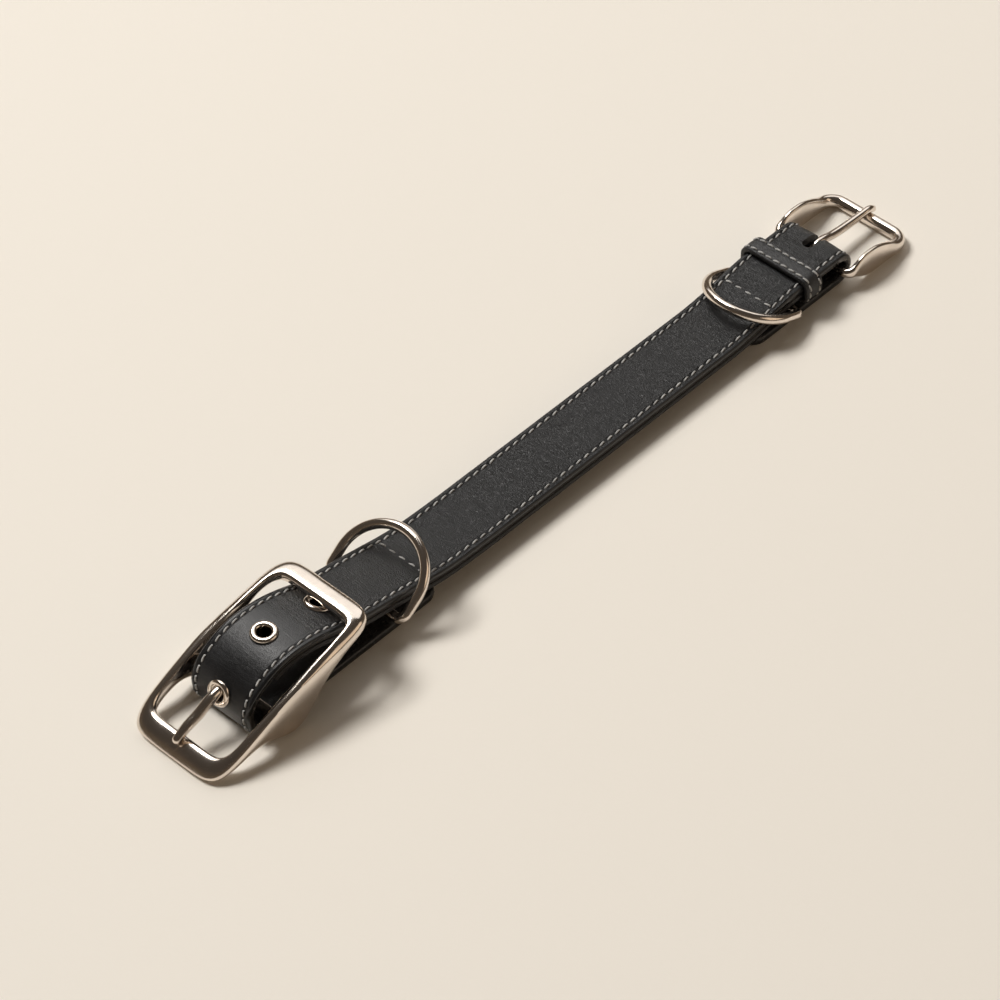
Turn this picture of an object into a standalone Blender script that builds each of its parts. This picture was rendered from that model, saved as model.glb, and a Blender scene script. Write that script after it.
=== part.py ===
"""Leather dog collar lying flat, with a large deep sided buckle at its near end and a small
heel bar buckle at its far end. X runs along the strap, Y across it, Z is up, and the collar
rests on Z = 0. All sizes are in metres."""

import math

import bmesh
import bpy
from mathutils import Matrix, Vector

# Driving sizes of the leather
STRAP_WIDTH = 0.025
OUTER_PLY = 0.003
LINING_PLY = 0.0022
FIT_GAP = 0.0003
EDGE_ROUND = 0.0009
TAB_CORNER_RADIUS = 0.006
STRAP_TOP = 0.0088

# Near end: the fold round the large buckle's middle bar, and the hump over the buckle
NEAR_FOLD_X = -0.153
NEAR_FOLD_RADIUS = 0.007
NEAR_RISE_LENGTH = 0.119
NEAR_RISE_HEIGHT = 0.016
NEAR_RING_INSET = 0.0655
NEAR_TAB_REACH = 0.0223
NEAR_LINING_INSET = 0.011

# Far end: the fold round the small buckle's heel bar
FAR_FOLD_X = 0.1396
FAR_FOLD_TOP = 0.013
FAR_RISE_LENGTH = 0.0556
FAR_RING_INSET = 0.0253
FAR_TAB_REACH = 0.0213
FAR_LINING_INSET = 0.0106

# Top face over the near buckle: shares of the rise's length, and of its height above the flat run
NEAR_RISE_ROWS = (
    {"run": -0.0017, "rise": 0.1125},
    {"run": 0.0067, "rise": 0.3563},
    {"run": 0.0303, "rise": 0.6000},
    {"run": 0.0672, "rise": 0.7875},
    {"run": 0.1092, "rise": 0.9250},
    {"run": 0.1597, "rise": 1.0000},
    {"run": 0.2185, "rise": 0.9875},
    {"run": 0.2773, "rise": 0.9125},
    {"run": 0.3361, "rise": 0.7750},
    {"run": 0.3950, "rise": 0.6125},
    {"run": 0.4790, "rise": 0.4750},
    {"run": 0.5546, "rise": 0.3750},
    {"run": 0.6303, "rise": 0.2625},
    {"run": 0.7143, "rise": 0.1313},
    {"run": 0.7983, "rise": 0.0438},
    {"run": 0.9160, "rise": 0.0063},
    {"run": 1.0000, "rise": 0.0000},
)

# Top face from the flat run up to the far fold, as shares in the same way
FAR_RISE_ROWS = (
    {"run": 0.000, "rise": 0.000},
    {"run": 0.180, "rise": 0.190},
    {"run": 0.342, "rise": 0.548},
    {"run": 0.545, "rise": 0.952},
    {"run": 0.683, "rise": 1.000},
    {"run": 0.827, "rise": 1.000},
    {"run": 1.000, "rise": 1.000},
)

# Eyelets, each at a share of the near rise's length from the fold, along the top face. The last
# one sits by the large frame's far bar
EYELET_FLANGE_RADIUS = 0.0045
EYELET_FLANGE_HEIGHT = 0.0012
EYELET_BARREL_RADIUS = 0.0029
EYELET_BORE_RADIUS = 0.0024
EYELET_LIP = 0.0003
EYELET_SIDES = 24
EYELET_BAR_INSET = 0.0041
EYELET_ROWS = (
    {"name": "eyelet_prong", "reach": 0.0533, "plies": 1},
    {"name": "eyelet_middle", "reach": 0.2608, "plies": 2},
)

# Large buckle frame: a superellipse ring in plan, tilted up towards the far end
NEAR_BAR_INSET = 0.008
NEAR_BAR_Z = 0.0085
NEAR_BAR_RADIUS = 0.0020
NEAR_FRAME_SHIFT = 0.0065
NEAR_FRAME_HALF_LENGTH = 0.0331
NEAR_FRAME_SIDE_CLEARANCE = 0.0067
NEAR_FRAME_POWER = 4.0
NEAR_FRAME_NEAR_TOP = 0.0062
NEAR_FRAME_RIDE = 0.0072
NEAR_FRAME_ARCH = 0.0022
NEAR_FRAME_END_HALF = 0.0035
NEAR_FRAME_SIDE_HALF = 0.0012
NEAR_FRAME_END_DROP = 0.0040
NEAR_FRAME_END_THICKNESS = 0.0034
NEAR_FRAME_CROWN = 0.0008
NEAR_FRAME_STATIONS = 64
NEAR_FRAME_END_DEPTH = 0.0066
NOTCH_CLEARANCE = 0.00055
NOTCH_LENGTH = 0.0106

# Lower edge of its side walls: shares of the half length from its middle, and of the far bar's
# underside
NEAR_SKIRT_ROWS = (
    {"x": -1.133, "z": 0.021},
    {"x": -0.801, "z": 0.068},
    {"x": -0.529, "z": 0.126},
    {"x": -0.257, "z": 0.053},
    {"x": -0.015, "z": 0.016},
    {"x": 0.136, "z": 0.074},
    {"x": 0.317, "z": 0.337},
    {"x": 0.529, "z": 0.684},
    {"x": 0.740, "z": 0.958},
    {"x": 1.133, "z": 1.000},
)

# Prongs: shares of the reach from the bar's axis, and of the highest rise above it
PRONG_RADIUS = 0.00135
PRONG_TIP_RADIUS = 0.00138
PRONG_EYE_WIDTH = 0.0036
PRONG_STEP = 0.0024
NEAR_EYE_RADIUS = 0.0037
NEAR_PRONG_REACH = 0.0268
NEAR_PRONG_RISE = 0.0048
NEAR_PRONG_ROWS = (
    {"run": 0.056, "rise": 0.563},
    {"run": 0.149, "rise": 0.854},
    {"run": 0.299, "rise": 1.000},
    {"run": 0.466, "rise": 0.833},
    {"run": 0.653, "rise": 0.417},
    {"run": 0.840, "rise": 0.167},
    {"run": 1.000, "rise": -0.292},
)
FAR_EYE_RADIUS = 0.0028
FAR_PRONG_REACH = 0.0353
FAR_PRONG_RISE = 0.0027
FAR_PRONG_ROWS = (
    {"run": 0.023, "rise": 0.740},
    {"run": 0.103, "rise": 1.000},
    {"run": 0.218, "rise": 0.800},
    {"run": 0.391, "rise": 0.407},
    {"run": 0.592, "rise": 0.222},
    {"run": 0.793, "rise": 0.185},
    {"run": 0.914, "rise": 0.148},
    {"run": 1.000, "rise": -0.296},
)

# Small buckle frame: a rounded rectangle ring in plan with deep side arms
HEEL_BAR_INSET = 0.0003
HEEL_BAR_RADIUS = 0.0016
FAR_FRAME_LENGTH = 0.0317
FAR_FRAME_DEPTH = 0.0114
FAR_FRAME_SIDE_CLEARANCE = 0.0041
FAR_FRAME_FRONT_CORNER = 0.0050
FAR_FRAME_HEEL_CORNER = 0.0030
FRONT_BAR_HALF = 0.0024
FAR_FRAME_CROWN_SHARE = 0.29
SLOT_CLEARANCE = 0.0014
SLOT_REACH = 0.0041
SLOT_DROP = 0.0003

# Its arms behind the heel bar: shares of its length, its depth and its front bar's half width
FAR_FRAME_ROWS = (
    {"x": 0.098, "top": 0.825, "bottom": 0.368, "half": 0.542},
    {"x": 0.192, "top": 0.947, "bottom": 0.193, "half": 0.458},
    {"x": 0.319, "top": 1.000, "bottom": 0.053, "half": 0.458},
    {"x": 0.476, "top": 0.956, "bottom": 0.026, "half": 0.458},
    {"x": 0.666, "top": 0.754, "bottom": 0.026, "half": 0.542},
    {"x": 0.823, "top": 0.544, "bottom": 0.026, "half": 0.750},
    {"x": 1.000, "top": 0.439, "bottom": 0.026, "half": 1.000},
)

# D-rings, both of one pattern, each with its bar in a fold of the strap
RING_WIRE_RADIUS = 0.0018
RING_SIDE_CLEARANCE = 0.0045
RING_DEPTH = 0.0250
RING_ARM = 0.0085
RING_CORNER = 0.0030
RING_SEAT_GAP = 0.0004
RING_ARCH_PARTS = 26
NEAR_RING_LIFT = math.radians(39.0)
FAR_RING_LIFT = math.radians(22.0)

# Keeper loop round the strap
KEEPER_FROM_RING = 0.0082
KEEPER_LENGTH = 0.0083
KEEPER_THICKNESS = 0.0020
KEEPER_SIDE_GAP = 0.0004
KEEPER_TOP_GAP = 0.0007
KEEPER_BASE_GAP = 0.0004
KEEPER_CORNER = 0.0019
KEEPER_TRIM = 0.0006

# Places that follow from the sizes
HALF_STRAP = STRAP_WIDTH / 2
BOTH_PLIES = OUTER_PLY + FIT_GAP + LINING_PLY
NEAR_RING_X = NEAR_FOLD_X + NEAR_RING_INSET
FAR_RING_X = FAR_FOLD_X - FAR_RING_INSET
FAR_RING_Z = OUTER_PLY + RING_WIRE_RADIUS + RING_SEAT_GAP
NEAR_BAR_X = NEAR_FOLD_X + NEAR_BAR_INSET
NEAR_FRAME_X = NEAR_BAR_X + NEAR_FRAME_SHIFT
NEAR_FRAME_HALF_WIDTH = HALF_STRAP + NEAR_FRAME_SIDE_CLEARANCE
HEEL_BAR_X = FAR_FOLD_X + HEEL_BAR_INSET
HEEL_BAR_Z = FAR_FOLD_TOP / 2
FRONT_BAR_X = HEEL_BAR_X + FAR_FRAME_LENGTH
FAR_FRAME_HALF_WIDTH = HALF_STRAP + FAR_FRAME_SIDE_CLEARANCE
RING_HALF_WIDTH = HALF_STRAP + RING_SIDE_CLEARANCE

CURVE_STEP = 0.0042
CORNER_PARTS = 5
SHARP_ANGLE = math.radians(32.0)


def clear_scene():
    """Remove every object of the open file."""
    for item in list(bpy.data.objects):
        bpy.data.objects.remove(item, do_unlink=True)


def new_collection(name):
    """Make a collection in the scene."""
    group = bpy.data.collections.new(name)
    bpy.context.scene.collection.children.link(group)
    return group


def new_material(name, color, metallic, roughness):
    """Make a Principled material."""
    material = bpy.data.materials.new(name)
    material.use_nodes = True
    shader = material.node_tree.nodes["Principled BSDF"]
    shader.inputs["Base Color"].default_value = (color[0], color[1], color[2], 1.0)
    shader.inputs["Metallic"].default_value = metallic
    shader.inputs["Roughness"].default_value = roughness
    return material


def leather(name):
    """Black leather for one piece."""
    return new_material(name + "_leather", (0.022, 0.022, 0.023), 0.0, 0.5)


def nickel(name):
    """Polished nickel for one piece."""
    return new_material(name + "_nickel", (0.72, 0.66, 0.61), 1.0, 0.2)


def link_mesh(name, mesh_data, material, group):
    """Put a bmesh into the scene as a named object with smooth round faces."""
    bmesh.ops.recalc_face_normals(mesh_data, faces=mesh_data.faces)
    mesh = bpy.data.meshes.new(name)
    mesh_data.to_mesh(mesh)
    mesh_data.free()
    mesh.shade_smooth()
    mesh.set_sharp_from_angle(angle=SHARP_ANGLE)
    item = bpy.data.objects.new(name, mesh)
    if material:
        item.data.materials.append(material)
    group.objects.link(item)
    return item


def loft(sections, closed):
    """Join sections of equal point count by quads, as a closed ring or with end caps."""
    mesh_data = bmesh.new()
    rings = [[mesh_data.verts.new(point) for point in section] for section in sections]
    count = len(sections[0])
    pairs = list(zip(rings, rings[1:]))
    if closed:
        pairs.append((rings[-1], rings[0]))
    for first, second in pairs:
        for index in range(count):
            after = (index + 1) % count
            mesh_data.faces.new((first[index], first[after], second[after], second[index]))
    if not closed:
        mesh_data.faces.new(rings[0])
        mesh_data.faces.new(rings[-1])
    return mesh_data


def smooth_line(knots, step):
    """Points of a Catmull-Rom curve through knots in the X-Z plane."""
    ends = [2 * knots[0] - knots[1]] + knots + [2 * knots[-1] - knots[-2]]
    points = []
    for index in range(1, len(ends) - 2):
        before, first, second, after = ends[index - 1:index + 3]
        parts = max(1, round((second - first).length / step))
        for part in range(parts):
            t = part / parts
            points.append(0.5 * (2 * first + (second - before) * t
                                 + (2 * before - 5 * first + 4 * second - after) * t ** 2
                                 + (3 * first - before - 3 * second + after) * t ** 3))
    points.append(knots[-1])
    return points


def value_at(rows, x, column):
    """Value of a table's column at x, eased between its rows."""
    if x <= rows[0]["x"]:
        return rows[0][column]
    for first, second in zip(rows, rows[1:]):
        if x <= second["x"]:
            t = (x - first["x"]) / (second["x"] - first["x"])
            ease = t * t * (3 - 2 * t)
            return first[column] + (second[column] - first[column]) * ease
    return rows[-1][column]


def arc(center, radius, start, end, parts):
    """Points of an arc in the X-Z plane, angles in degrees."""
    points = []
    for part in range(parts + 1):
        angle = math.radians(start + (end - start) * part / parts)
        points.append(center + radius * Vector((math.cos(angle), math.sin(angle))))
    return points


def tab_run(tab_x, inner_x):
    """Points on the floor from a tab's end inwards, close together round its corners."""
    side = 1 if inner_x > tab_x else -1
    shares = (0.0, 0.06, 0.2, 0.45, 1.0)
    points = [Vector((tab_x + side * TAB_CORNER_RADIUS * share, 0.0)) for share in shares]
    points.append(Vector((inner_x, 0.0)))
    return points


def top_line():
    """The strap's top face, from the near fold's side to the far fold."""
    near = [Vector((NEAR_FOLD_X, NEAR_FOLD_RADIUS))]
    for row in NEAR_RISE_ROWS:
        x = NEAR_FOLD_X + row["run"] * NEAR_RISE_LENGTH
        near.append(Vector((x, STRAP_TOP + row["rise"] * NEAR_RISE_HEIGHT)))
    far = []
    for row in FAR_RISE_ROWS:
        x = FAR_FOLD_X - (1 - row["run"]) * FAR_RISE_LENGTH
        far.append(Vector((x, STRAP_TOP + row["rise"] * (FAR_FOLD_TOP - STRAP_TOP))))
    return smooth_line(near, CURVE_STEP) + smooth_line(far, CURVE_STEP)


def top_height(x):
    """Height of the strap's top face at x, past the near fold."""
    height = STRAP_TOP
    for first, second in zip(top_line(), top_line()[1:]):
        if first.x <= x <= second.x and second.x > first.x:
            height = first.lerp(second, (x - first.x) / (second.x - first.x)).y
    return height


def strap_line():
    """The outer face of the whole outer ply, from the near tab's end to the far tab's."""
    near_center = Vector((NEAR_FOLD_X + NEAR_FOLD_RADIUS, NEAR_FOLD_RADIUS))
    far_radius = FAR_FOLD_TOP / 2
    far_center = Vector((FAR_FOLD_X, far_radius))
    points = tab_run(NEAR_RING_X + NEAR_TAB_REACH, near_center.x)[:-1]
    points += arc(near_center, NEAR_FOLD_RADIUS, 270, 180, 6)[:-1]
    points += top_line()[:-1]
    points += arc(far_center, far_radius, 90, -90, 14)[:-1]
    points += reversed(tab_run(FAR_RING_X - FAR_TAB_REACH, FAR_FOLD_X))
    return points


def outward(points, index):
    """Unit normal that points out of the strap at one point of its line."""
    before = points[max(index - 1, 0)]
    after = points[min(index + 1, len(points) - 1)]
    along = (after - before).normalized()
    return Vector((-along.y, along.x))


def spot_along(points, reach):
    """The spot at a distance along the line, with the outward normal there."""
    left = reach
    for first, second in zip(points, points[1:]):
        length = (second - first).length
        if left <= length:
            break
        left -= length
    unit = (second - first).normalized()
    return first + left * unit, Vector((-unit.y, unit.x))


def ply_section(point, normal, half_width, depth_out, depth_in):
    """Section of a ply with rounded outer edges, as points in space."""
    rounded = min(EDGE_ROUND, (depth_in - depth_out) / 2)
    side = (
        (half_width - rounded, depth_out),
        (half_width - 0.3 * rounded, depth_out + 0.3 * rounded),
        (half_width, depth_out + rounded),
        (half_width, depth_in - 0.5 * rounded),
        (half_width - 0.5 * rounded, depth_in),
    )
    outline = list(side) + [(-y, depth) for y, depth in reversed(side)]
    return [(point.x - normal.x * depth, y, point.y - normal.y * depth) for y, depth in outline]


def tab_half_width(distance):
    """Half width of the strap at a distance from its tab's end."""
    if distance >= TAB_CORNER_RADIUS:
        return HALF_STRAP
    short = TAB_CORNER_RADIUS - distance
    return HALF_STRAP - TAB_CORNER_RADIUS + math.sqrt(TAB_CORNER_RADIUS ** 2 - short ** 2)


def line_distances(points):
    """Distance along the line up to each point."""
    total = 0.0
    distances = [0.0]
    for first, second in zip(points, points[1:]):
        total += (second - first).length
        distances.append(total)
    return distances


def build_outer_ply(group):
    """The outer leather with its two folds and tabs."""
    points = strap_line()
    distances = line_distances(points)
    sections = []
    for index, point in enumerate(points):
        from_end = min(distances[index], distances[-1] - distances[index])
        half_width = tab_half_width(from_end)
        normal = outward(points, index)
        sections.append(ply_section(point, normal, half_width, 0.0, OUTER_PLY))
    return link_mesh("strap_outer", loft(sections, False), leather("strap_outer"), group)


def build_lining(group):
    """The second leather layer, under the strap between its folds."""
    depth = OUTER_PLY + FIT_GAP
    points = top_line()
    near_x = NEAR_FOLD_X + NEAR_LINING_INSET
    far_x = FAR_FOLD_X - FAR_LINING_INSET
    sections = []
    for index, point in enumerate(points):
        if near_x <= point.x <= far_x:
            normal = outward(points, index)
            sections.append(ply_section(point, normal, HALF_STRAP, depth, depth + LINING_PLY))
    return link_mesh("strap_lining", loft(sections, False), leather("strap_lining"), group)


def reach_at(points, x):
    """Distance along the line up to where it last passes x."""
    total = 0.0
    reach = 0.0
    for first, second in zip(points, points[1:]):
        length = (second - first).length
        if first.x <= x <= second.x and second.x > first.x:
            reach = total + length * (x - first.x) / (second.x - first.x)
        total += length
    return reach


def aligned(origin, direction):
    """Matrix that puts Z along a direction in the X-Z plane, at an origin."""
    z_axis = Vector((direction.x, 0.0, direction.y)).normalized()
    y_axis = Vector((0.0, 1.0, 0.0))
    x_axis = y_axis.cross(z_axis)
    turn = Matrix((x_axis, y_axis, z_axis)).transposed().to_4x4()
    return Matrix.Translation((origin.x, 0.0, origin.y)) @ turn


def cut(target, cutter):
    """Cut one object out of another for good."""
    combine(target, cutter, "DIFFERENCE")


def join(target, other):
    """Fuse one object with another for good."""
    combine(target, other, "UNION")


def combine(target, other, operation):
    """Apply an exact Boolean and remove the second object."""
    modifier = target.modifiers.new("combine", "BOOLEAN")
    modifier.operation = operation
    modifier.solver = "EXACT"
    modifier.object = other
    bpy.context.view_layer.update()
    graph = bpy.context.evaluated_depsgraph_get()
    mesh = bpy.data.meshes.new_from_object(target.evaluated_get(graph))
    target.modifiers.remove(modifier)
    old = target.data
    target.data = mesh
    bpy.data.meshes.remove(old)
    bpy.data.objects.remove(other, do_unlink=True)


def cylinder(name, radius, length, matrix, sides, group):
    """A capped cylinder centred on a matrix, along its Z axis."""
    mesh_data = bmesh.new()
    bmesh.ops.create_cone(mesh_data, cap_ends=True, segments=sides, radius1=radius, radius2=radius,
                          depth=length, matrix=matrix)
    return link_mesh(name, mesh_data, None, group)


def box(name, size, center, group):
    """A box cutter."""
    mesh_data = bmesh.new()
    scale = Matrix.Diagonal((size[0], size[1], size[2], 1.0))
    bmesh.ops.create_cube(mesh_data, size=1.0, matrix=Matrix.Translation(center) @ scale)
    return link_mesh(name, mesh_data, None, group)


def eyelet_seats():
    """Matrix of each eyelet's seat on the outer face, with its row."""
    points = top_line()
    bar_x = NEAR_FRAME_X + NEAR_FRAME_HALF_LENGTH - EYELET_BAR_INSET
    places = [(row, row["reach"] * NEAR_RISE_LENGTH) for row in EYELET_ROWS]
    places.append(({"name": "eyelet_bar", "plies": 2}, reach_at(points, bar_x)))
    seats = []
    for row, reach in places:
        spot, normal = spot_along(points, reach)
        seats.append((row, aligned(spot, normal)))
    return seats


def punch_eyelet_holes(outer, lining, cutters):
    """Punch the leather for the eyelets."""
    radius = EYELET_BARREL_RADIUS + FIT_GAP
    length = 4 * (OUTER_PLY + LINING_PLY)
    for row, seat in eyelet_seats():
        cut(outer, cylinder("hole", radius, length, seat, EYELET_SIDES, cutters))
        if row["plies"] == 2:
            cut(lining, cylinder("hole", radius, length, seat, EYELET_SIDES, cutters))


def build_eyelet(row, seat, group):
    """One eyelet turned about its axis: a domed flange over the leather and a barrel through it."""
    depth = OUTER_PLY + (FIT_GAP + LINING_PLY if row["plies"] == 2 else 0.0)
    top = FIT_GAP + EYELET_FLANGE_HEIGHT
    middle = (EYELET_FLANGE_RADIUS + EYELET_BORE_RADIUS) / 2
    profile = (
        (EYELET_BARREL_RADIUS, -depth),
        (EYELET_BARREL_RADIUS, FIT_GAP),
        (EYELET_FLANGE_RADIUS, FIT_GAP),
        (EYELET_FLANGE_RADIUS - EYELET_LIP, FIT_GAP + 0.6 * EYELET_FLANGE_HEIGHT),
        (middle, top),
        (EYELET_BORE_RADIUS + EYELET_LIP, FIT_GAP + 0.7 * EYELET_FLANGE_HEIGHT),
        (EYELET_BORE_RADIUS, FIT_GAP),
        (EYELET_BORE_RADIUS, -depth),
    )
    sections = []
    for side in range(EYELET_SIDES):
        angle = 2 * math.pi * side / EYELET_SIDES
        sections.append([seat @ Vector((r * math.cos(angle), r * math.sin(angle), z)) for r, z in profile])
    return link_mesh(row["name"], loft(sections, True), nickel(row["name"]), group)


def bar_section(center, normal, half, top, bottom, drop, crown):
    """Eight sided section of a frame: inner side first, the outer side lower by drop."""
    round_out = min(half * 0.62, (top - bottom) * 0.32)
    outline = (
        (-half, top - crown),
        (-half + round_out, top),
        (half - round_out, top - 0.5 * drop),
        (half, top - drop - crown),
        (half, bottom + crown),
        (half - round_out, bottom),
        (-half + round_out, bottom + 0.5 * drop),
        (-half, bottom + 0.5 * drop + crown),
    )
    return [(center.x + normal.x * across, center.y + normal.y * across, z) for across, z in outline]


def build_near_frame(group, cutters):
    """The large frame, a superellipse ring with deep side walls, fused with its middle bar."""
    half_length = NEAR_FRAME_HALF_LENGTH
    half_width = NEAR_FRAME_HALF_WIDTH
    far_top = top_height(NEAR_FRAME_X + half_length) + NEAR_FRAME_RIDE
    middle_top = (far_top + NEAR_FRAME_NEAR_TOP) / 2
    tilt = (far_top - NEAR_FRAME_NEAR_TOP) / 2
    far_underside = far_top - NEAR_FRAME_END_DEPTH
    sections = []
    for station in range(NEAR_FRAME_STATIONS):
        angle = 2 * math.pi * (station + 0.5) / NEAR_FRAME_STATIONS
        share_x = math.copysign(abs(math.cos(angle)) ** (2 / NEAR_FRAME_POWER), math.cos(angle))
        share_y = math.copysign(abs(math.sin(angle)) ** (2 / NEAR_FRAME_POWER), math.sin(angle))
        normal = Vector((share_x ** 3 / half_length, share_y ** 3 / half_width)).normalized()
        end_share = abs(normal.x) ** 2
        half = NEAR_FRAME_SIDE_HALF + (NEAR_FRAME_END_HALF - NEAR_FRAME_SIDE_HALF) * end_share
        center = Vector((NEAR_FRAME_X + half_length * share_x, half_width * share_y))
        top = middle_top + tilt * share_x + NEAR_FRAME_ARCH * (1 - share_x ** 2)
        drop = NEAR_FRAME_END_DROP * end_share
        skirt = far_underside * value_at(NEAR_SKIRT_ROWS, share_x, "z")
        bar_bottom = max(top - drop - NEAR_FRAME_END_THICKNESS, skirt)
        bottom = skirt + (bar_bottom - skirt) * end_share
        sections.append(bar_section(center, normal, half, top, bottom, drop, NEAR_FRAME_CROWN))
    frame = link_mesh("near_frame", loft(sections, True), nickel("near_frame"), group)
    across = Matrix.Rotation(math.radians(90), 4, "X")
    place = Matrix.Translation((NEAR_BAR_X, 0.0, NEAR_BAR_Z)) @ across
    bar_length = 2 * half_width
    join(frame, cylinder("middle_bar", NEAR_BAR_RADIUS, bar_length, place, 16, cutters))
    before, tip = near_prong_knots()[-2:]
    seat = aligned((tip + before) / 2, tip - before)
    radius = PRONG_RADIUS + NOTCH_CLEARANCE
    cut(frame, cylinder("notch", radius, NOTCH_LENGTH, seat, 16, cutters))
    return frame


def wire(name, points, radius, cyclic, group):
    """A round wire along points, as a welded mesh object."""
    data = bpy.data.curves.new(name, "CURVE")
    data.dimensions = "3D"
    data.bevel_depth = radius
    data.bevel_resolution = 3
    data.use_fill_caps = True
    spline = data.splines.new("POLY")
    spline.points.add(len(points) - 1)
    for index, point in enumerate(points):
        spline.points[index].co = (point[0], point[1], point[2], 1.0)
    spline.use_cyclic_u = cyclic
    item = bpy.data.objects.new(name, data)
    group.objects.link(item)
    bpy.context.view_layer.update()
    graph = bpy.context.evaluated_depsgraph_get()
    mesh = bpy.data.meshes.new_from_object(item.evaluated_get(graph))
    bpy.data.objects.remove(item, do_unlink=True)
    mesh_data = bmesh.new()
    mesh_data.from_mesh(mesh)
    bpy.data.meshes.remove(mesh)
    bmesh.ops.remove_doubles(mesh_data, verts=mesh_data.verts, dist=0.000001)
    return link_mesh(name, mesh_data, None, group)


def seat_origin(item, origin):
    """Move an object's origin, on its joint's axis, without moving its mesh."""
    item.data.transform(Matrix.Translation(-Vector(origin)))
    item.location = origin


def prong_knots(rows, bar_x, bar_z, reach, rise):
    """Knots of a prong's line from its rows; a negative reach runs towards the near end."""
    return [Vector((bar_x + row["run"] * reach, bar_z + row["rise"] * rise)) for row in rows]


def near_prong_knots():
    """Knots of the large buckle's prong."""
    return prong_knots(NEAR_PRONG_ROWS, NEAR_BAR_X, NEAR_BAR_Z, -NEAR_PRONG_REACH, NEAR_PRONG_RISE)


def far_prong_knots():
    """Knots of the small buckle's prong."""
    return prong_knots(FAR_PRONG_ROWS, HEEL_BAR_X, HEEL_BAR_Z, FAR_PRONG_REACH, FAR_PRONG_RISE)


def prong_eye(name, center, outer_radius, bore_radius, cutters):
    """The prong's round eye, solid until its bore is cut."""
    across = Matrix.Rotation(math.radians(90), 4, "X")
    place = Matrix.Translation(center) @ across
    eye = cylinder(name, outer_radius, PRONG_EYE_WIDTH, place, 20, cutters)
    bore = cylinder("bore", bore_radius, 2 * PRONG_EYE_WIDTH, place, 20, cutters)
    return eye, bore


def build_prong(name, knots, center, eye_radius, bar_radius, group, cutters):
    """A prong: a bent wire with a ball tip, fused to an eye round its bar."""
    line = smooth_line(knots, PRONG_STEP)
    prong = wire(name, [(point.x, 0.0, point.y) for point in line], PRONG_RADIUS, False, group)
    prong.data.materials.append(nickel(name))
    tip = line[-1]
    ball_data = bmesh.new()
    bmesh.ops.create_uvsphere(ball_data, u_segments=16, v_segments=10, radius=PRONG_TIP_RADIUS,
                              matrix=Matrix.Translation((tip.x, 0.0, tip.y)))
    join(prong, link_mesh("tip", ball_data, None, cutters))
    eye, bore = prong_eye("eye", center, eye_radius, bar_radius + FIT_GAP, cutters)
    join(prong, eye)
    cut(prong, bore)
    seat_origin(prong, center)
    return prong


def rounded_ring_plan(x_low, x_high, half_width, corner_low, corner_high):
    """Plan points and outward normals of a rounded rectangle, symmetric about Y = 0."""
    stations = []

    def side(start, end, normal, parts):
        for part in range(parts):
            t = (part + 0.5) / parts
            stations.append((start.lerp(end, t), normal))

    def corner(center, radius, start):
        for part in range(CORNER_PARTS + 1):
            angle = math.radians(start + 90 * part / CORNER_PARTS)
            normal = Vector((math.cos(angle), math.sin(angle)))
            stations.append((center + radius * normal, normal))

    high_y = half_width - corner_high
    low_y = half_width - corner_low
    arm_high = x_high - corner_high
    arm_low = x_low + corner_low
    side(Vector((x_high, -high_y)), Vector((x_high, high_y)), Vector((1, 0)), 2)
    corner(Vector((arm_high, high_y)), corner_high, 0)
    side(Vector((arm_high, half_width)), Vector((arm_low, half_width)), Vector((0, 1)), 9)
    corner(Vector((arm_low, low_y)), corner_low, 90)
    side(Vector((x_low, low_y)), Vector((x_low, -low_y)), Vector((-1, 0)), 2)
    corner(Vector((arm_low, -low_y)), corner_low, 180)
    side(Vector((arm_low, -half_width)), Vector((arm_high, -half_width)), Vector((0, -1)), 9)
    corner(Vector((arm_high, -high_y)), corner_high, 270)
    return stations


def far_frame_rows():
    """The small frame's section at each place along it, in metres, from its heel bar on."""
    rows = [{
        "x": HEEL_BAR_X,
        "top": HEEL_BAR_Z + HEEL_BAR_RADIUS,
        "bottom": HEEL_BAR_Z - HEEL_BAR_RADIUS,
        "half": HEEL_BAR_RADIUS,
    }]
    for row in FAR_FRAME_ROWS:
        rows.append({
            "x": HEEL_BAR_X + row["x"] * FAR_FRAME_LENGTH,
            "top": row["top"] * FAR_FRAME_DEPTH,
            "bottom": row["bottom"] * FAR_FRAME_DEPTH,
            "half": row["half"] * FRONT_BAR_HALF,
        })
    return rows


def build_far_frame(group):
    """The small frame: round front bar, deep side arms and a thin heel bar, one ring."""
    plan = rounded_ring_plan(HEEL_BAR_X, FRONT_BAR_X, FAR_FRAME_HALF_WIDTH,
                             FAR_FRAME_HEEL_CORNER, FAR_FRAME_FRONT_CORNER)
    rows = far_frame_rows()
    sections = []
    for center, normal in plan:
        top = value_at(rows, center.x, "top")
        bottom = value_at(rows, center.x, "bottom")
        half = value_at(rows, center.x, "half")
        crown = FAR_FRAME_CROWN_SHARE * min(2 * half, top - bottom)
        sections.append(bar_section(center, normal, half, top, bottom, 0.0, crown))
    frame = link_mesh("far_frame", loft(sections, True), nickel("far_frame"), group)
    seat_origin(frame, (HEEL_BAR_X, 0.0, HEEL_BAR_Z))
    return frame


def cut_prong_slot(outer, cutters):
    """Cut the slot that lets the far prong out of the fold."""
    start_x = FAR_FOLD_X - SLOT_REACH
    end_x = FAR_FOLD_X + FAR_FOLD_TOP
    floor_z = HEEL_BAR_Z - SLOT_DROP
    top_z = 2 * FAR_FOLD_TOP
    size = (end_x - start_x, PRONG_EYE_WIDTH + SLOT_CLEARANCE, top_z - floor_z)
    center = ((end_x + start_x) / 2, 0.0, (top_z + floor_z) / 2)
    cut(outer, box("slot", size, center, cutters))


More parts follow.
